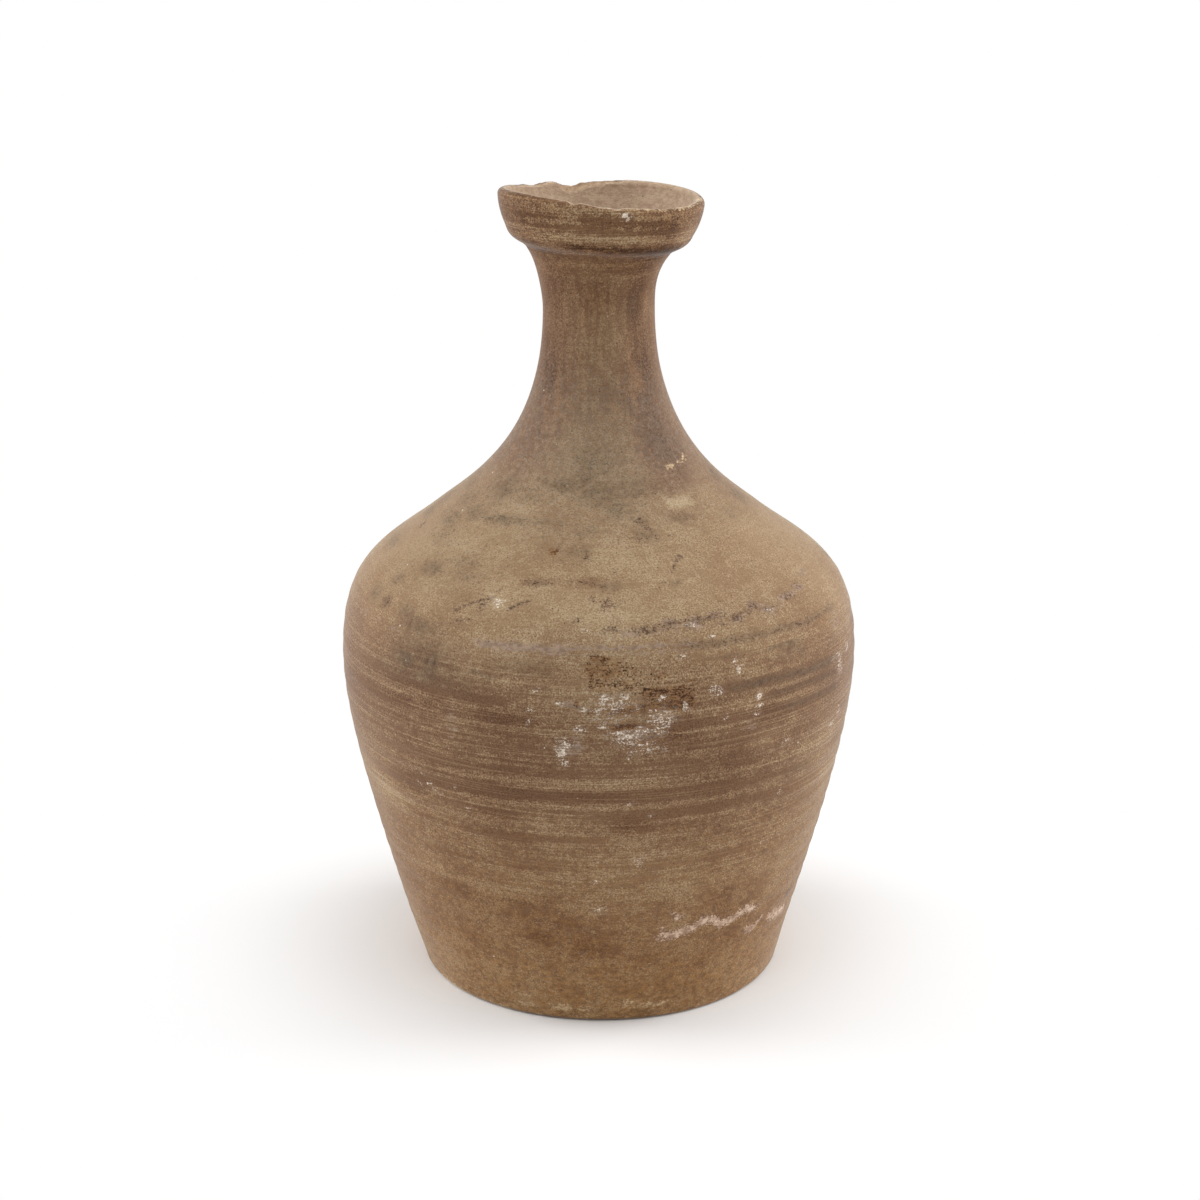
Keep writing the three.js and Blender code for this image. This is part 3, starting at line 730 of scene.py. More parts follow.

# %% [markdown]
# ## Relief of the thrown clay
# Fingers leave a spiral of shallow rings up the body, the shoulder is beaten and smoothed, and the neck
# is wiped upwards. A fine groove runs round under the dish. All of it is a fraction of a millimetre, but
# light from the side finds it. A bump in the material would be enough for one picture. It is real relief
# in the mesh, so it also shows in the outline.

# %% Raise rings, wipes and crusts
DENTS = ((75, 0.30, 3), (14, 0.07, 4))
RINGED = ((14, 34), (182, 196))  # levels where the rings set in and where they end
RING_PITCH, RING_DEPTH = 9.5, 0.20
RING_DRIFT, RING_DRIFT_SIZE = 0.4, 80
RING_PATCH, RING_MEAN, RING_SWING = (70, 70, 26), 0.55, 0.45
FINE_RING, FINE_RING_DEPTH = (60, 60, 2.6), 0.06
WIPED = ((262, 290), (338, 350))
WIPE, WIPE_DEPTH = (6, 6, 60), 0.10
JOINT_RIDGE, JOINT_RIDGE_WIDTH, RIDGE_UNDER_JOINT = 0.22, 1.4, 0.8
ROOT_GROOVE, ROOT_GROOVE_WIDTH, GROOVE_OVER_ROOT = 0.35, 1.3, 1.2
CRUMB_SIZE, CRUMB_MEAN, CRUMB_SWING = 2.2, 0.6, 0.8
RELIEF = {"lime": 0.22, "scar": 0.45, "crust": 0.10, "soot": -0.15, "slip": 0.15}


def thrown_relief(skin):
    """How far each point stands out from the smooth outline, in millimetres."""
    level = skin.level
    ringed = zone(level, *RINGED)
    patch = RING_MEAN + RING_SWING * uneven(skin, RING_PATCH, 1)
    phase = level / RING_PITCH - skin.turn / 360 + RING_DRIFT * uneven(skin, RING_DRIFT_SIZE, 2)
    relief = wander(skin, DENTS)
    relief += ringed * patch * RING_DEPTH * np.cos(2 * math.pi * phase)
    relief += ringed * FINE_RING_DEPTH * uneven(skin, FINE_RING, 5)
    relief += zone(level, *WIPED) * WIPE_DEPTH * uneven(skin, WIPE, 6)
    relief += JOINT_RIDGE * fade(level - SHOULDER_JOINT + RIDGE_UNDER_JOINT, JOINT_RIDGE_WIDTH) * patch
    relief -= ROOT_GROOVE * fade(level - DISH_ROOT.level - GROOVE_OVER_ROOT, ROOT_GROOVE_WIDTH)
    crumbs = CRUMB_MEAN + CRUMB_SWING * uneven(skin, CRUMB_SIZE, 7)
    relief += sum(depth * crumbs * skin.marks[kind] for kind, depth in RELIEF.items())
    return relief * skin.outside


for skin in skins.values():
    skin.relief = thrown_relief(skin)
print("relief from", round(min(skin.relief.min() for skin in skins.values()), 2), "to",
      round(max(skin.relief.max() for skin in skins.values()), 2), "mm")

# %% [markdown]
# ## The broken lip
# At the back a flake has come off, from the inside of the lip, and left a sloping face of fresh clay
# beside a tooth that still stands. At the front the lip is nibbled. A boolean could cut each bite out,
# but it would spoil the even columns. Here a break is a cut: every point above the cut comes down onto
# it. A trace of its old height is kept, so the faces there don't collapse.

# %% Break the lip
Break = namedtuple("Break", "turn wide depth slope")
BREAKS = [Break(-161, 6.5, 2.7, 0.45), Break(-172, 9, 0.9, 0.40), Break(176, 8, 0.3, 0.25),
          Break(2, 10, 0.8, 0.05), Break(-16, 2.4, 0.7, 0.1), Break(9, 2.0, 0.6, 0.1),
          Break(37, 2.2, 0.5, 0.1), Break(-136, 6, 1.4, 0.1), Break(-124, 9, 0.9, 0.1),
          Break(62, 3, 0.4, 0.1)]
NIBBLE, NIBBLE_SIZE, UNNIBBLED = 0.25, 5, 0.35
BREAK_ROUGH, BREAK_ROUGH_SIZE = 0.35, 3
SLOPE_EDGE = (0.15, 0.5)
LOWEST_BREAK = DISH_CORNER[1] + 8
TRACE = 0.05


def break_lip(skin):
    """Brings the points above the break down to it, and says how much each one lost."""
    depth = NIBBLE * (uneven(skin, NIBBLE_SIZE, 8) - UNNIBBLED)
    slope = np.zeros(len(depth))
    jagged = 1 + BREAK_ROUGH * uneven(skin, BREAK_ROUGH_SIZE, 9)
    for bite in BREAKS:
        near = fade(np.radians(gap(skin, bite.turn)) * DISH_RADIUS, bite.wide)
        depth = depth + bite.depth * near * jagged
        slope = np.maximum(slope, bite.slope * smooth(near, *SLOPE_EDGE))
    cut = HEIGHT - depth - slope * (DISH_RADIUS - skin.radius)
    lost = np.maximum(skin.level - cut, 0) * (skin.level > LOWEST_BREAK)
    skin.points[:, 2] -= (1 - TRACE) * lost
    return lost


for skin in skins.values():
    skin.lost = break_lip(skin)
print("deepest break", round(skins["dish_mouth"].lost.max(), 1), "mm")

# %% [markdown]
# ## Settling
# Wet clay moves. The mouth leans a few degrees to the right, its rim has a slight saddle, the shoulder
# has drifted to the left and the foot to the right. A lattice modifier could bend the whole pot, but the
# same formula as in the frame keeps the fine mesh on the frame's shape. It is applied last, so that all
# marks settle with the clay.

# %% How the clay settles
MOUTH_TILT = math.radians(3.1)
LIP_SADDLE = 1.3
SHOULDER_DRIFT, SHOULDER_SPREAD = -1.3, 30
FOOT_DRIFT, FOOT_SLUMP, FOOT_SPREAD = 0.9, -1.0, 20


def settle(points):
    """The points as they lie after drying and firing, in millimetres."""
    x, y, z = points.T
    lip = smooth(z, DISH_ROOT.level, HEIGHT)
    tilt = MOUTH_TILT * smooth(z, NECK.level, DISH_ROOT.level)
    above = z - DISH_CORNER[1]
    at_foot = fade(z, FOOT_SPREAD)
    drift = SHOULDER_DRIFT * fade(z - SHOULDER.level, SHOULDER_SPREAD) + FOOT_DRIFT * at_foot
    saddle = LIP_SADDLE * np.sin(2 * np.arctan2(y, x)) * lip
    return np.column_stack([
        x * np.cos(tilt) + above * np.sin(tilt) + drift,
        y + FOOT_SLUMP * at_foot,
        DISH_CORNER[1] - x * np.sin(tilt) + above * np.cos(tilt) + saddle])


print("the mouth leans", round(math.degrees(MOUTH_TILT), 1), "degrees")

# %% [markdown]
# ## Moving the points
# The relief is added along the way each point faces, the clay settles, and the points go back into the
# mesh. A pot stands on its foot, so no point may dip below the table. A Displace modifier could add the
# relief, but it can't settle the clay. The skin is shaded smooth, with sharp edges only at the breaks
# and at the hidden joints.

# %% Move the points into place
SHARP_EDGE = math.radians(38)
for node, piece in pieces.items():
    skin = skins[node]
    skin.placed = settle(skin.points + skin.facing * skin.relief[:, None])
    skin.placed[:, 2] = np.maximum(skin.placed[:, 2], 0)
    piece.data.vertices.foreach_set("co", (skin.placed * MM).ravel())
    piece.data.attributes.remove(piece.data.attributes["facing"])
    piece.data.shade_smooth()
    piece.data.set_sharp_from_angle(angle=SHARP_EDGE)
    piece.data.update()
print("settled", len(pieces), "pieces")

# %% [markdown]
# ## How light the fired skin is, with painted shade
# The material reads what it needs from attributes on the points. The main one is `tone`: how light the
# skin is, from iron-dark at 0 to tan at 1. Each level has a tone, which drifts in clouds the size of
# a hand, and the dark and pale patches are added to it. The low tones just under the dish are painted
# shadow of the dish. The sides and back of the neck are painted darker, as shade. The bowl of the dish is
# an even tan with a darker ring at the back. A gradient along Z in the material could give the levels,
# but not the patches.

# %% Tone of the skin
TONE_LEVELS = (0, 12, 30, 45, 60, 75, 100, 125, 150, 168, 182, 196, 206, 225, 240, 255, 275, 300, 325,
               342, 350, 354, 357, 360, 366, 370, 373, 376, 378, 381)
# the low tones at 354, 357 and 360 mm are painted shadow under the dish
TONES = (.70, .66, .53, .48, .51, .54, .49, .44, .43, .44, .50, .58, .61, .60, .60, .60, .58, .55, .54,
         .42, .41, .36, .32, .38, .48, .46, .42, .46, .50, .50)
CLOUDS = ((60, 0.06, 11), (25, 0.06, 15))
# painted shade: from the upper shoulder up, the neck is darker at its sides and back than at its front
SIDE_SHADE_START = (235, 268)
SIDE_SHADE_TURNS = (-180, -75, -48, -18, 18, 46, 72, 180)
SIDE_SHADE = (.20, .16, .20, 0, 0, .25, .18, .20)
BOWL_TONE, BOWL_CLOUDS = 0.70, ((12, 0.06, 12),)
BOWL_RING, BOWL_RING_LEVEL, BOWL_RING_WIDTH = 0.16, 377.6, 1.3
BOWL_RING_TURN, BOWL_RING_SPREAD, BOWL_RING_EDGE = 168, 36, 4


def tone_and_painted_shade(skin):
    """How light the skin is at each point, with shade painted under the dish and on the sides of the neck.
    """
    tone = np.interp(skin.level, TONE_LEVELS, TONES) + wander(skin, CLOUDS)
    tone += skin.marks["pale"] - skin.marks["dark"]
    tone -= smooth(skin.level, *SIDE_SHADE_START) * np.interp(gap(skin, 0), SIDE_SHADE_TURNS, SIDE_SHADE)
    ring = fade(skin.level - BOWL_RING_LEVEL, BOWL_RING_WIDTH)
    ring = ring * fade(gap(skin, BOWL_RING_TURN), BOWL_RING_SPREAD, BOWL_RING_EDGE)
    return np.where(skin.inside > 0, BOWL_TONE + wander(skin, BOWL_CLOUDS) - BOWL_RING * ring, tone)


finish = {node: {"tone": tone_and_painted_shade(skin)} for node, skin in skins.items()}
print("mean tone of the body:", round(finish["body"]["tone"].mean(), 2))

# %% [markdown]
# ## The potter's lines all round
# `drawn` holds the lines of the front, ridges up and furrows down. Behind, where none were seen, furrows
# go on round the jug at like levels, wandering and fading in patches. They could be copied from the
# front, but a hand never draws the same line twice.

# %% Lines round the back
ROUND_FURROWS = (  # level, thickness and strength
    (143, 2.5, .16), (124, 3, .20), (113, 2, .14), (104, 2.2, .16), (90, 2, .14), (163, 3, .16),
    (175, 2.5, .16))
FURROW_SWAY, FURROW_SWAY_SIZE = 5, (90, 90, 200)
FURROW_PATCH, FURROW_MEAN = (60, 60, 30), 0.4
BEHIND = (60, 80)
IN_FRONT, MORE_BEHIND = 0.1, 1.4


def drawn_lines(skin):
    """Above 0 on the ridges and below 0 in the furrows."""
    drawn = skin.drawn["ridge"] - skin.drawn["furrow"]
    shown = IN_FRONT + MORE_BEHIND * smooth(np.abs(gap(skin, 0)), *BEHIND)
    for level, thick, strength in ROUND_FURROWS:  # the level also serves as the seed
        sway = FURROW_SWAY * uneven(skin, FURROW_SWAY_SIZE, level)
        patch = np.maximum(0, FURROW_MEAN + uneven(skin, FURROW_PATCH, level + 0.5))
        drawn -= strength * patch * shown * fade(skin.level - level + sway, thick)
    return drawn * skin.outside


for node, skin in skins.items():
    finish[node]["drawn"] = drawn_lines(skin)
print("furrows that go round:", len(ROUND_FURROWS))

# %% [markdown]
# ## Where the clay is rubbed
# Hands and tables rub the crest of the lip and the edge of the foot pale, the lip most on its right. An
# edge-wear trick with pointiness would find every edge alike. Real wear is where things touch, so it is
# placed by level and turn.

# %% Wear on lip and foot
CREST = (HEIGHT - 1.4, HEIGHT - 0.2)
HELD_TURN, HELD_START, HELD_END = 45, (-40, -10), (30, 60)
CREST_WEAR, HELD_WEAR, CREST_PATCH, CREST_PATCH_SIZE = 0.20, 0.45, 0.5, 6
FOOT_WEAR, FOOT_PATCH, FOOT_PATCH_SIZE, FOOT_WEAR_HEIGHT = 0.35, 0.6, 9, 4


def rubbed(skin):
    """How far the skin is rubbed pale: on its marks, on the crest of the lip and at the foot."""
    held = zone(gap(skin, HELD_TURN), HELD_START, HELD_END)
    wear = CREST_WEAR + HELD_WEAR * held + CREST_PATCH * uneven(skin, CREST_PATCH_SIZE, 13)
    crest = smooth(skin.level, *CREST) * wear
    patch = np.maximum(0, FOOT_WEAR + FOOT_PATCH * uneven(skin, FOOT_PATCH_SIZE, 14))
    foot = fade(skin.level, FOOT_WEAR_HEIGHT) * patch
    return np.maximum.reduce([skin.marks["rub"], crest * skin.seen, foot * skin.outside])


for node, skin in skins.items():
    finish[node]["rub"] = rubbed(skin)
print("rubbed points of the lip:", int((finish["dish_mouth"]["rub"] > 0.5).sum()))

# %% [markdown]
# ## Dust, ash and warmth by level
# The other coats take their marks, and some also lie all round at certain levels: ochre warmth at the
# foot and under the dish, a breath of ash and dust from the shoulder up the neck. `inner` is the bowl of
# the dish, and `fresh` the clay that the breaks laid bare.

# %% Coats by level
WARM_LEVELS = (0, 20, 40, 90, 125, 180, 300, 325, 342, 352, 359, 364)
WARMTH = (.9, .76, .58, .38, .2, .05, 0, .08, .22, .35, .3, .3)
ASH_LEVELS, ASHES = (190, 235, 260, 290, 320), (.05, .10, .16, .15, .06)
DUST_LEVELS, DUSTS = (215, 240, 262, 288, 310, 340), (0, .32, .55, .50, .25, 0)
LOST_ENOUGH = (0.45, 1.2)

for node, skin in skins.items():
    for kind in ("crust", "lime", "rust", "scar", "slip", "soot"):
        finish[node][kind] = skin.marks[kind]
    finish[node]["warm"] = np.maximum(skin.marks["warm"], np.interp(skin.level, WARM_LEVELS, WARMTH))
    finish[node]["ash"] = np.maximum(skin.marks["ash"], np.interp(skin.level, ASH_LEVELS, ASHES))
    finish[node]["dust"] = np.interp(skin.level, DUST_LEVELS, DUSTS) * skin.outside
    finish[node]["inner"] = skin.inside
    finish[node]["fresh"] = smooth(skin.lost, *LOST_ENOUGH)
print("values so far:", ", ".join(finish["body"]))

# %% [markdown]
# ## How the skin was worked
# `turned` says how much the turning hand shows, `wiped` the upright wipes, `mottled` the thumb-sized
# blotches, `coarse` the grit and `sandy` the sand. `contrast` is how far smooth and rough skin differ: it
# is calmer at the two sides, which is painted sheen, for the haze of light at the edges washes the pattern
# out there. `banded` keeps broad bands to the back and to the dish, because the front has its own drawn
# lines. Five materials could do this, but then the joints would show.

# %% Ways of working
WORKED = {  # levels, and how much of each way of working shows there
    "turned": ((10, 50, 70, 95, 112, 140, 165, 185, 198, 340, 347, 353, 358),
               (.15, .2, .4, .5, .8, .9, .8, .5, .2, .1, .6, .5, .9)),
    "wiped": ((0, 30, 50, 225, 255, 290, 340, 350), (.5, .4, 0, 0, .6, .9, .9, 0)),
    "mottled": ((0, 60, 90, 165, 195, 270, 345, 358), (.9, .8, .6, .6, .8, .6, .4, .5)),
    "coarse": ((0, 60, 90, 150, 195, 240, 270, 345, 358, 362),
               (.4, .4, .6, .5, .6, .5, .2, .2, .9, 1.1)),
    "sandy": ((0, 100, 190, 215, 260, 330, 350, 362), (.9, .85, .85, .6, .6, .6, .8, 1.0)),
    "contrast": ((0, 50, 75, 110, 150, 175, 195, 215, 260, 300, 345, 356, 362),
                 (.16, .16, .17, .17, .16, .16, .12, .11, .14, .14, .13, .15, .23)),
}
SHOWN_INSIDE = 0.5
# painted sheen: the pattern is calmer at the sides, where the haze of light at the edges washes it out
SHEEN_CALMING, SHEEN_CALMING_START, SHEEN_CALMING_END = 0.5, (42, 60), (84, 104)
BANDS_IN_FRONT, BANDS_BEHIND, BANDS_START = 0.3, 0.7, (60, 90)
BANDS_ON_DISH, BANDS_DISH_START = 0.6, (345, 358)


def worked(skin):
    """How much of each way of working shows at each point."""
    aside = np.abs(gap(skin, 0))
    shown = skin.outside + SHOWN_INSIDE * skin.inside
    ways = {way: np.interp(skin.level, levels, amounts) * shown
            for way, (levels, amounts) in WORKED.items()}
    ways["contrast"] *= 1 - SHEEN_CALMING * zone(aside, SHEEN_CALMING_START, SHEEN_CALMING_END)
    ways["banded"] = ways["turned"] * np.maximum(
        BANDS_IN_FRONT + BANDS_BEHIND * smooth(aside, *BANDS_START),
        BANDS_ON_DISH * smooth(skin.level, *BANDS_DISH_START))
    return ways


for node, piece in pieces.items():
    finish[node].update(worked(skins[node]))
    for name, amounts in finish[node].items():
        attribute = piece.data.attributes.new(name, "FLOAT", "POINT")
        attribute.data.foreach_set("value", np.asarray(amounts, np.float32))
print("attributes:", ", ".join(finish["body"]))

# %% [markdown]
# ## The stoneware
# The clay is iron-bearing stoneware, fired brown without a glaze. The eye gets a dry, grainy skin: no
# highlight, a dusty paleness at the edges, dry-brushed streaks where it was turned and speckle where ash
# fell. One material serves all five sections, because they are one pot, and it reads Object
# coordinates, so no pattern breaks at a joint.

# %% A node, its settings and its links
def linear(hex_colour):
    """An sRGB hex colour as the linear values that Blender's sockets take."""
    parts = [int(hex_colour[place:place + 2], 16) / 255 for place in (1, 3, 5)]
    return (*[part / 12.92 if part <= 0.04045 else ((part + 0.055) / 1.055) ** 2.4 for part in parts], 1)


def add(tree, kind, sockets=None, **settings):
    """Adds a node, sets its settings, and links or sets each socket. A node gives its first output."""
    node = tree.nodes.new("ShaderNode" + kind)
    for name, value in settings.items():
        setattr(node, name, value)
    for name, value in (sockets or {}).items():
        if isinstance(value, bpy.types.Node):
            value = next(output for output in value.outputs if output.enabled)
        if isinstance(value, bpy.types.NodeSocket):
            tree.links.new(value, node.inputs[name])
        else:
            node.inputs[name].default_value = value
    return node


stoneware = bpy.data.materials.new("unglazed_stoneware_wheel_thrown")
stoneware.use_nodes = True
clay = stoneware.node_tree
clay.nodes.clear()
on_jug = add(clay, "TexCoord").outputs["Object"]
print("material:", stoneware.name)

# %% [markdown]
# ### Patterns at their real sizes
# The turning hand leaves bands a finger's width high, streaks of some 80 mm, dashes of 5 mm and hair
# lines. The wipes on the neck stand upright. Mottle is the size of a thumb, grit that of a lentil, crumbs
# are half of that, flecks smaller still, and grain is sand. Each is a noise whose Mapping turns
# millimetres into its scale. Sand finer than a millimetre would vanish in the picture, so it is drawn at
# about that size.

# %% Bands, streaks, dashes, wipes, mottle and grain
PATTERNS = {  # size in mm along x, y and z, detail, roughness
    "band": ((220, 220, 4.6), 2.0, 0.5),
    "streak": ((85, 85, 1.6), 3.0, 0.6),
    "dash": ((4.5, 4.5, 0.9), 2.0, 0.6),
    "hair": ((70, 70, 0.6), 1.0, 0.5),
    "wipe": ((2.6, 2.6, 26), 3.0, 0.6),
    "mottle": ((14, 14, 11), 4.0, 0.65),
    "grit": ((3.2, 3.2, 2.2), 3.0, 0.7),
    "crumb": ((1.5, 1.5, 1.0), 2.0, 0.6),
    "fleck": ((0.95, 0.95, 0.8), 2.0, 0.6),
    "grain": ((0.7, 0.7, 0.7), 1.0, 0.6),
}
pattern = {}
for name, (size, detail, roughness) in PATTERNS.items():
    sized = add(clay, "Mapping", {"Vector": on_jug, "Scale": [1 / (part * MM) for part in size]})
    pattern[name] = add(clay, "TexNoise", {"Vector": sized, "Scale": 1, "Detail": detail,
                                           "Roughness": roughness})
field = {name: add(clay, "Attribute", attribute_name=name).outputs["Fac"] for name in finish["body"]}
print("patterns:", ", ".join(pattern))

# %% [markdown]
# ### Smooth and rough skin
# Up close the skin is of two kinds: smooth and dark where the wet hand closed it, rough and tan where
# it dried open. Each pattern pushes the balance between them where the clay was worked that way, and so
# do the potter's lines. A steep passage then decides, so the patches get the broken edges of a dry brush.
# A plain mix of noises would give soft clouds instead.

# %% Where the skin is rough
PUSHES = (("band", "banded", 1.2), ("streak", "turned", 0.8), ("dash", "turned", 0.6),
          ("wipe", "wiped", 0.9), ("grit", "coarse", 0.9), ("mottle", "mottled", 1.0))
GRAIN_PUSH = 0.25
MIDDLE = 0.5  # the mean of a noise
STEEP = 0.14

balance = field["drawn"]
for name, where, strength in PUSHES:
    swing = add(clay, "Math", {0: pattern[name], 1: MIDDLE}, operation="SUBTRACT")
    push = add(clay, "Math", {0: swing, 1: field[where]}, operation="MULTIPLY")
    balance = add(clay, "Math", {0: push, 1: strength, 2: balance}, operation="MULTIPLY_ADD")
grains = add(clay, "Math", {0: pattern["grain"], 1: MIDDLE}, operation="SUBTRACT")
balance = add(clay, "Math", {0: grains, 1: GRAIN_PUSH, 2: balance}, operation="MULTIPLY_ADD")
rough = add(clay, "MapRange", {"Value": balance, "From Min": -STEEP, "From Max": STEEP},
            interpolation_type="SMOOTHSTEP")
print("patterns that roughen:", ", ".join(name for name, where, strength in PUSHES))

# %% [markdown]
# ### Light and dark in the skin
# Rough skin is lighter than the tone of its place and smooth skin darker, and sand shows most in the
# rough skin. Hair lines scratch the turned skin pale and pores break the rough skin dark. All of them
# shift the one tone, and not the colour, so the clay keeps its own range of colours.

# %% Shift the tone
SANDY, SANDIER, SCRATCHED, PITTED = 0.6, 0.7, 0.18, -0.24
HAIR_EDGE = (0.60, 0.64)
PORE_EDGE = (0.40, 0.33)  # from high to low, because pores are the hollows of the crumbs

lift = add(clay, "Math", {0: rough, 1: MIDDLE}, operation="SUBTRACT")
sand = add(clay, "Math", {0: grains, 1: field["sandy"]}, operation="MULTIPLY")
rough_sand = add(clay, "Math", {0: sand, 1: rough}, operation="MULTIPLY")
hairs = add(clay, "MapRange", {"Value": pattern["hair"], "From Min": HAIR_EDGE[0],
                               "From Max": HAIR_EDGE[1]})
scratches = add(clay, "Math", {0: hairs, 1: field["turned"]}, operation="MULTIPLY")
pores = add(clay, "MapRange", {"Value": pattern["crumb"], "From Min": PORE_EDGE[0],
                               "From Max": PORE_EDGE[1]})
pores = add(clay, "Math", {0: pores, 1: rough}, operation="MULTIPLY")
pores = add(clay, "Math", {0: pores, 1: field["coarse"]}, operation="MULTIPLY")
tone = field["tone"]
for shift, strength in ((lift, field["contrast"]), (sand, SANDY), (rough_sand, SANDIER),
                        (scratches, SCRATCHED), (pores, PITTED)):
    tone = add(clay, "Math", {0: shift, 1: strength, 2: tone}, operation="MULTIPLY_ADD")
print("nodes so far:", len(clay.nodes))

# %% [markdown]
# ### From tone to colour
# A ramp turns the tone into a colour. Dark clay is redder and pale clay is yellower, as on the real
# skin. Brightening a single brown would keep its hue, and the clay would look like painted plaster.

# %% Ramp the tone
CLAY_TONES = ((0.0, "#3a2416"), (0.2, "#593f2d"), (0.4, "#795b44"), (0.6, "#957a5c"), (0.8, "#ae9879"),
              (1.0, "#c6b496"))
ramp = add(clay, "ValToRGB", {"Fac": tone})
ramp.color_ramp.elements.remove(ramp.color_ramp.elements[1])
for position, hex_colour in CLAY_TONES:
    stop = ramp.color_ramp.elements.new(position) if position else ramp.color_ramp.elements[0]
    stop.color = linear(hex_colour)
print("clay from", CLAY_TONES[0][1], "to", CLAY_TONES[-1][1])

# %% [markdown]
# ### What breaks a coat up
# Dirt never lies as an even film. Crumbs and grains decide where it sticks, flecks mixed with crumbs or
# dashes give specks, strokes and flakes, wipes run down the neck, and brush strokes carry the slip. Each
# breaker is a pattern, or a mix of two, stretched to fill the range from 0 to 1.

# %% Breakers
BLENDS = {"speck": ("fleck", "crumb", 0.35), "stroke": ("fleck", "dash", 0.4),
          "flake": ("fleck", "dash", 0.35), "brush": ("streak", "dash", 0.6)}
BREAKERS = {"crumb": (0.38, 0.62), "grain": (0.36, 0.64), "speck": (0.42, 0.58), "stroke": (0.42, 0.58),
            "flake": (0.42, 0.58), "wipe": (0.36, 0.64), "brush": (0.40, 0.60)}
for name, (main, other, share) in BLENDS.items():
    pattern[name] = add(clay, "Mix", {"Factor": share, "A": pattern[main], "B": pattern[other]})
breaker = {name: add(clay, "MapRange", {"Value": pattern[name], "From Min": low, "From Max": high})
           for name, (low, high) in BREAKERS.items()}
print("breakers:", ", ".join(breaker))

# %% [markdown]
# ### What lies on the clay
# Each kind of mark is a thin coat over the clay, and its strength is about the share that it covers.
# `bite` is how much the breaker breaks it, `soft` how blurred its edges are and `opacity` how much of the
# clay it hides. Coats that lie on top come last. Ash, soot, crust and lime are laid twice: a thin haze
# first, and then the specks. The scar is laid first as a dark rim, which is painted shadow beside the
# raised seam, and then as the pale seam. Layered shaders would do the same, but all coats are equally
# dry, so mixing their colours is enough.

# %% Coats of ash, crust, lime and wear
Coat = namedtuple("Coat", "kind dark light breaker bite soft opacity")
COATS = [
    Coat("warm", "#6d4622", "#996c37", "crumb", 0.35, 1.0, 0.9),
    Coat("inner", "#a68d79", "#bca48e", "crumb", 0.5, 0.5, 0.7),
    Coat("dust", "#82776b", "#9d9184", "crumb", 0.4, 1.0, 0.70),
    Coat("rust", "#835838", "#a1754d", "wipe", 0.8, 0.6, 0.55),
    Coat("slip", "#857061", "#a68f7c", "brush", 0.8, 0.45, 0.85),
    Coat("ash", "#514538", "#746452", "grain", 0.5, 0.6, 0.80),
    Coat("ash", "#40352a", "#5a4c3d", "speck", 1.2, 0.30, 0.45),
    Coat("soot", "#6a5343", "#836a57", "crumb", 0.4, 0.7, 0.75),
    Coat("soot", "#46342a", "#6b5443", "speck", 1.0, 0.30, 0.80),
    Coat("crust", "#6e4d34", "#936f4b", "crumb", 0.3, 0.6, 0.75),
    Coat("crust", "#331c0e", "#5c3a25", "stroke", 1.25, 0.25, 0.9),
    Coat("rub", "#a88c69", "#d2ba97", "crumb", 0.9, 0.4, 0.8),
    Coat("fresh", "#927960", "#b0957a", "crumb", 0.6, 0.5, 0.8),
    # the scar's first coat, its dark rim, is painted shadow beside the raised seam
    Coat("scar", "#4d3828", "#68503b", "crumb", 0.5, 0.3, 0.4),
    Coat("scar", "#9b7d68", "#d4b9a2", "speck", 0.7, 0.2, 0.95),
    Coat("lime", "#8d7d70", "#ab9d90", "grain", 0.5, 0.8, 0.60),
    Coat("lime", "#c0ac98", "#f2e7d8", "flake", 1.05, 0.25, 0.92),
]
TINT_EDGE = (0.40, 0.60)

tint = add(clay, "MapRange", {"Value": pattern["grit"], "From Min": TINT_EDGE[0], "From Max": TINT_EDGE[1]})
colour = ramp
for coat in COATS:
    broken = add(clay, "Math", {0: breaker[coat.breaker], 1: coat.bite, 2: field[coat.kind]},
                 operation="MULTIPLY_ADD")
    cover = add(clay, "MapRange", {"Value": broken, "From Min": coat.bite,
                                   "From Max": coat.bite + coat.soft, "To Max": coat.opacity})
    paint = add(clay, "Mix", {"Factor": tint, "A": linear(coat.dark), "B": linear(coat.light)},
                data_type="RGBA")
    colour = add(clay, "Mix", {"Factor": cover, "A": colour, "B": paint}, data_type="RGBA")
print("coats laid:", len(COATS))

# %% [markdown]
# ### Pinholes and flecks
# Burnt-out grit leaves dark pinholes, sand shows as tan dots, and grains of lime as white flecks. All
# are points of a Voronoi pattern: a cell's distance from its point draws the dot, and its random colour
# says whether this cell has one. A noise with a threshold would give blots, not dots.

# %% Scatter pinholes and flecks
Dots = namedtuple("Dots", "apart radius share hex_colour")
DOTS = [Dots(2.6, 0.40, 0.20, "#4f3c2d"), Dots(5.0, 0.42, 0.14, "#b39a78"),
        Dots(13, 0.50, 0.40, "#dcd4c8")]
SOLID = 0.5

for dots in DOTS:
    rim = dots.radius / dots.apart
    cells = add(clay, "TexVoronoi", {"Vector": on_jug, "Scale": 1 / (dots.apart * MM)})
    dot = add(clay, "MapRange", {"Value": cells, "From Min": rim, "From Max": SOLID * rim})
    lot = add(clay, "SeparateColor", {"Color": cells.outputs["Color"]})
    has_dot = add(clay, "Math", {0: lot, 1: dots.share}, operation="LESS_THAN")
    shown_dot = add(clay, "Math", {0: dot, 1: has_dot}, operation="MULTIPLY")
    colour = add(clay, "Mix", {"Factor": shown_dot, "A": colour, "B": linear(dots.hex_colour)},
                 data_type="RGBA")
print("dots of", ", ".join(f"{2 * dots.radius:.1f} mm" for dots in DOTS))

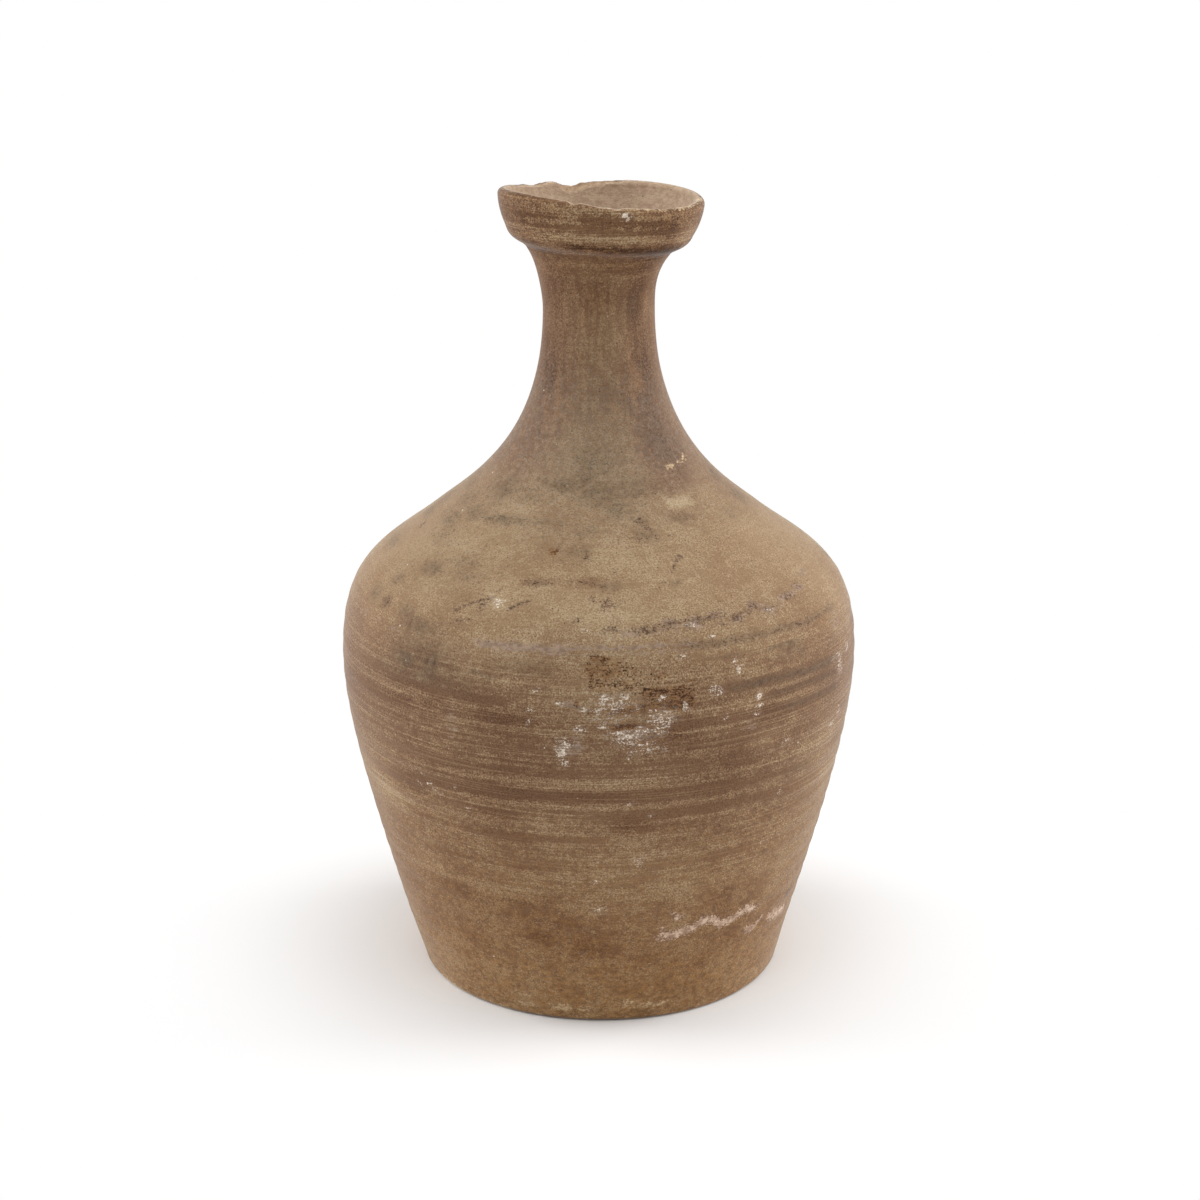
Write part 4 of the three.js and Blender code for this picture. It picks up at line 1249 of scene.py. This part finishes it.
# %% [markdown]
# ### Bare and dry
# The skin scatters light: rough, with the dull gloss of stone and a little dust that pales the edges,
# which is what sheen gives. The grain and the dashes are too small for the mesh, so they are bumps of
# some tenths of a millimetre.

# %% The finished surface
BUMP_HEIGHT, BUMP_STRENGTH = 0.25 * MM, 0.6
ROUGHNESS = 0.82  # fired clay without a glaze has 0.8 to 0.9
STONE_IOR, DULL_GLOSS = 1.5, 0.14  # the pores swallow most of the gloss that 1.5 gives
DUST_SHEEN, DUST_SHEEN_ROUGHNESS = 0.3, 0.3

bumps = add(clay, "Math", {0: pattern["grain"], 1: pattern["dash"]}, operation="ADD")
bump = add(clay, "Bump", {"Height": bumps, "Strength": BUMP_STRENGTH, "Distance": BUMP_HEIGHT})
surface = add(clay, "BsdfPrincipled", {
    "Base Color": colour, "Roughness": ROUGHNESS, "IOR": STONE_IOR, "Specular IOR Level": DULL_GLOSS,
    "Sheen Weight": DUST_SHEEN, "Sheen Roughness": DUST_SHEEN_ROUGHNESS, "Normal": bump})
add(clay, "OutputMaterial", {"Surface": surface})
print("stoneware of", len(clay.nodes), "nodes")

# %% [markdown]
# ## Tie each piece to the frame
# Every visual piece stands for one section of the frame: it takes the stoneware, rides on the jug's only
# body and hides that section. The jug could be joined into one mesh, but five pieces can be reused,
# coloured and checked one by one.

# %% Ride, replace and slot
for node, piece in pieces.items():
    piece.data.materials.append(stoneware)
    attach(piece, "root")
    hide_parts(node)
print("tied:", ", ".join(piece.name for piece in pieces.values()))

# %% [markdown]
# ## The floor
# A large pale floor takes the jug's soft shadow. One wide face is enough, because its far edge is never
# seen. It lies a hair under the flat base, because two faces in one plane flicker.

# %% Lay the floor
FLOOR_SIDE = 30.0
FLOOR_DROP = 0.2 * MM
floor_mesh = bpy.data.meshes.new("studio_floor")
sheet = bmesh.new()
bmesh.ops.create_grid(sheet, x_segments=1, y_segments=1, size=FLOOR_SIDE / 2,
                      matrix=Matrix.Translation((0, 0, -FLOOR_DROP)))
sheet.to_mesh(floor_mesh)
sheet.free()
floor = bpy.data.objects.new("studio_floor", floor_mesh)
scene.collection.objects.link(floor)
print("floor", FLOOR_SIDE, "m wide")

# %% [markdown]
# ### White paper that runs into white
# Near the jug the paper is an ordinary matt white and shows the shadow. Farther out the camera sees it
# as plain white, so no horizon shows. Only rays that come from the eye see that: the light that
# the paper throws back onto the jug is that of real paper everywhere.

# %% Finish the floor
SHADOW_NEAR, SHADOW_FAR = 0.11, 0.28
PAPER_ROUGHNESS = 0.9
WHITE = linear("#ffffff")


def eye_rays(tree):
    """1 for rays that come from the eye, also by a mirror or through glass, and 0 for all others."""
    rays = add(tree, "LightPath").outputs
    direct = add(tree, "Math", {0: rays["Is Camera Ray"], 1: rays["Is Glossy Ray"]}, operation="MAXIMUM")
    return add(tree, "Math", {0: direct, 1: rays["Is Transmission Ray"]}, operation="MAXIMUM")


paper = bpy.data.materials.new("matt_white_paper")
paper.use_nodes = True
page = paper.node_tree
page.nodes.clear()
matt = add(page, "BsdfPrincipled", {"Base Color": linear("#f4f4f4"), "Roughness": PAPER_ROUGHNESS})
glow = add(page, "Emission", {"Color": WHITE, "Strength": 1})
from_jug = add(page, "VectorMath", {0: add(page, "TexCoord").outputs["Object"]},
               operation="LENGTH").outputs["Value"]
far_out = add(page, "MapRange", {"Value": from_jug, "From Min": SHADOW_NEAR, "From Max": SHADOW_FAR},
              interpolation_type="SMOOTHSTEP")
whitened = add(page, "Math", {0: far_out, 1: eye_rays(page)}, operation="MULTIPLY")
paper_look = add(page, "MixShader", {0: whitened, 1: matt, 2: glow})
add(page, "OutputMaterial", {"Surface": paper_look})
floor_mesh.materials.append(paper)
print("paper:", paper.name)

# %% [markdown]
# ## Lamps
# Two tall soft lamps stand at the sides, a little behind, and one hangs overhead, as in a small studio:
# that is why the jug's edges are lighter than its middle. Large area lamps give the soft shadow. Points
# or a sun would draw a hard one.

# %% Hang the lamps
Lamp = namedtuple("Lamp", "name stand wide high watts")
AIM = Vector((0, 0, 0.19))
LAMPS = [Lamp("left_soft_lamp", (-1.35, 0.25, 0.55), 0.9, 1.5, 19),
         Lamp("right_soft_lamp", (1.35, 0.25, 0.60), 0.9, 1.5, 19.5),
         Lamp("top_soft_lamp", (0.10, -0.35, 1.70), 1.4, 1.4, 12)]
for lamp in LAMPS:
    light = bpy.data.lights.new(lamp.name, "AREA")
    light.shape = "RECTANGLE"
    light.size = lamp.wide
    light.size_y = lamp.high
    light.energy = lamp.watts
    holder = bpy.data.objects.new(lamp.name, light)
    holder.location = lamp.stand
    holder.rotation_euler = (AIM - Vector(lamp.stand)).to_track_quat("-Z", "Y").to_euler()
    scene.collection.objects.link(holder)
print("lamps:", ", ".join(lamp.name for lamp in LAMPS))

# %% [markdown]
# ## The room
# The background is plain white to the camera, and lights the jug only as a dim room would. One white
# world for both would wash out the clay, so the eye's rays are told from the others.

# %% Light the room
ROOM_LIGHT = 0.47
world = bpy.data.worlds.new("studio")
world.use_nodes = True
scene.world = world
room = world.node_tree
room.nodes.clear()
brightness = add(room, "MapRange", {"Value": eye_rays(room), "To Min": ROOM_LIGHT, "To Max": 1})
sky = add(room, "Background", {"Color": WHITE, "Strength": brightness})
add(room, "OutputWorld", {"Surface": sky})
print("room light:", ROOM_LIGHT)
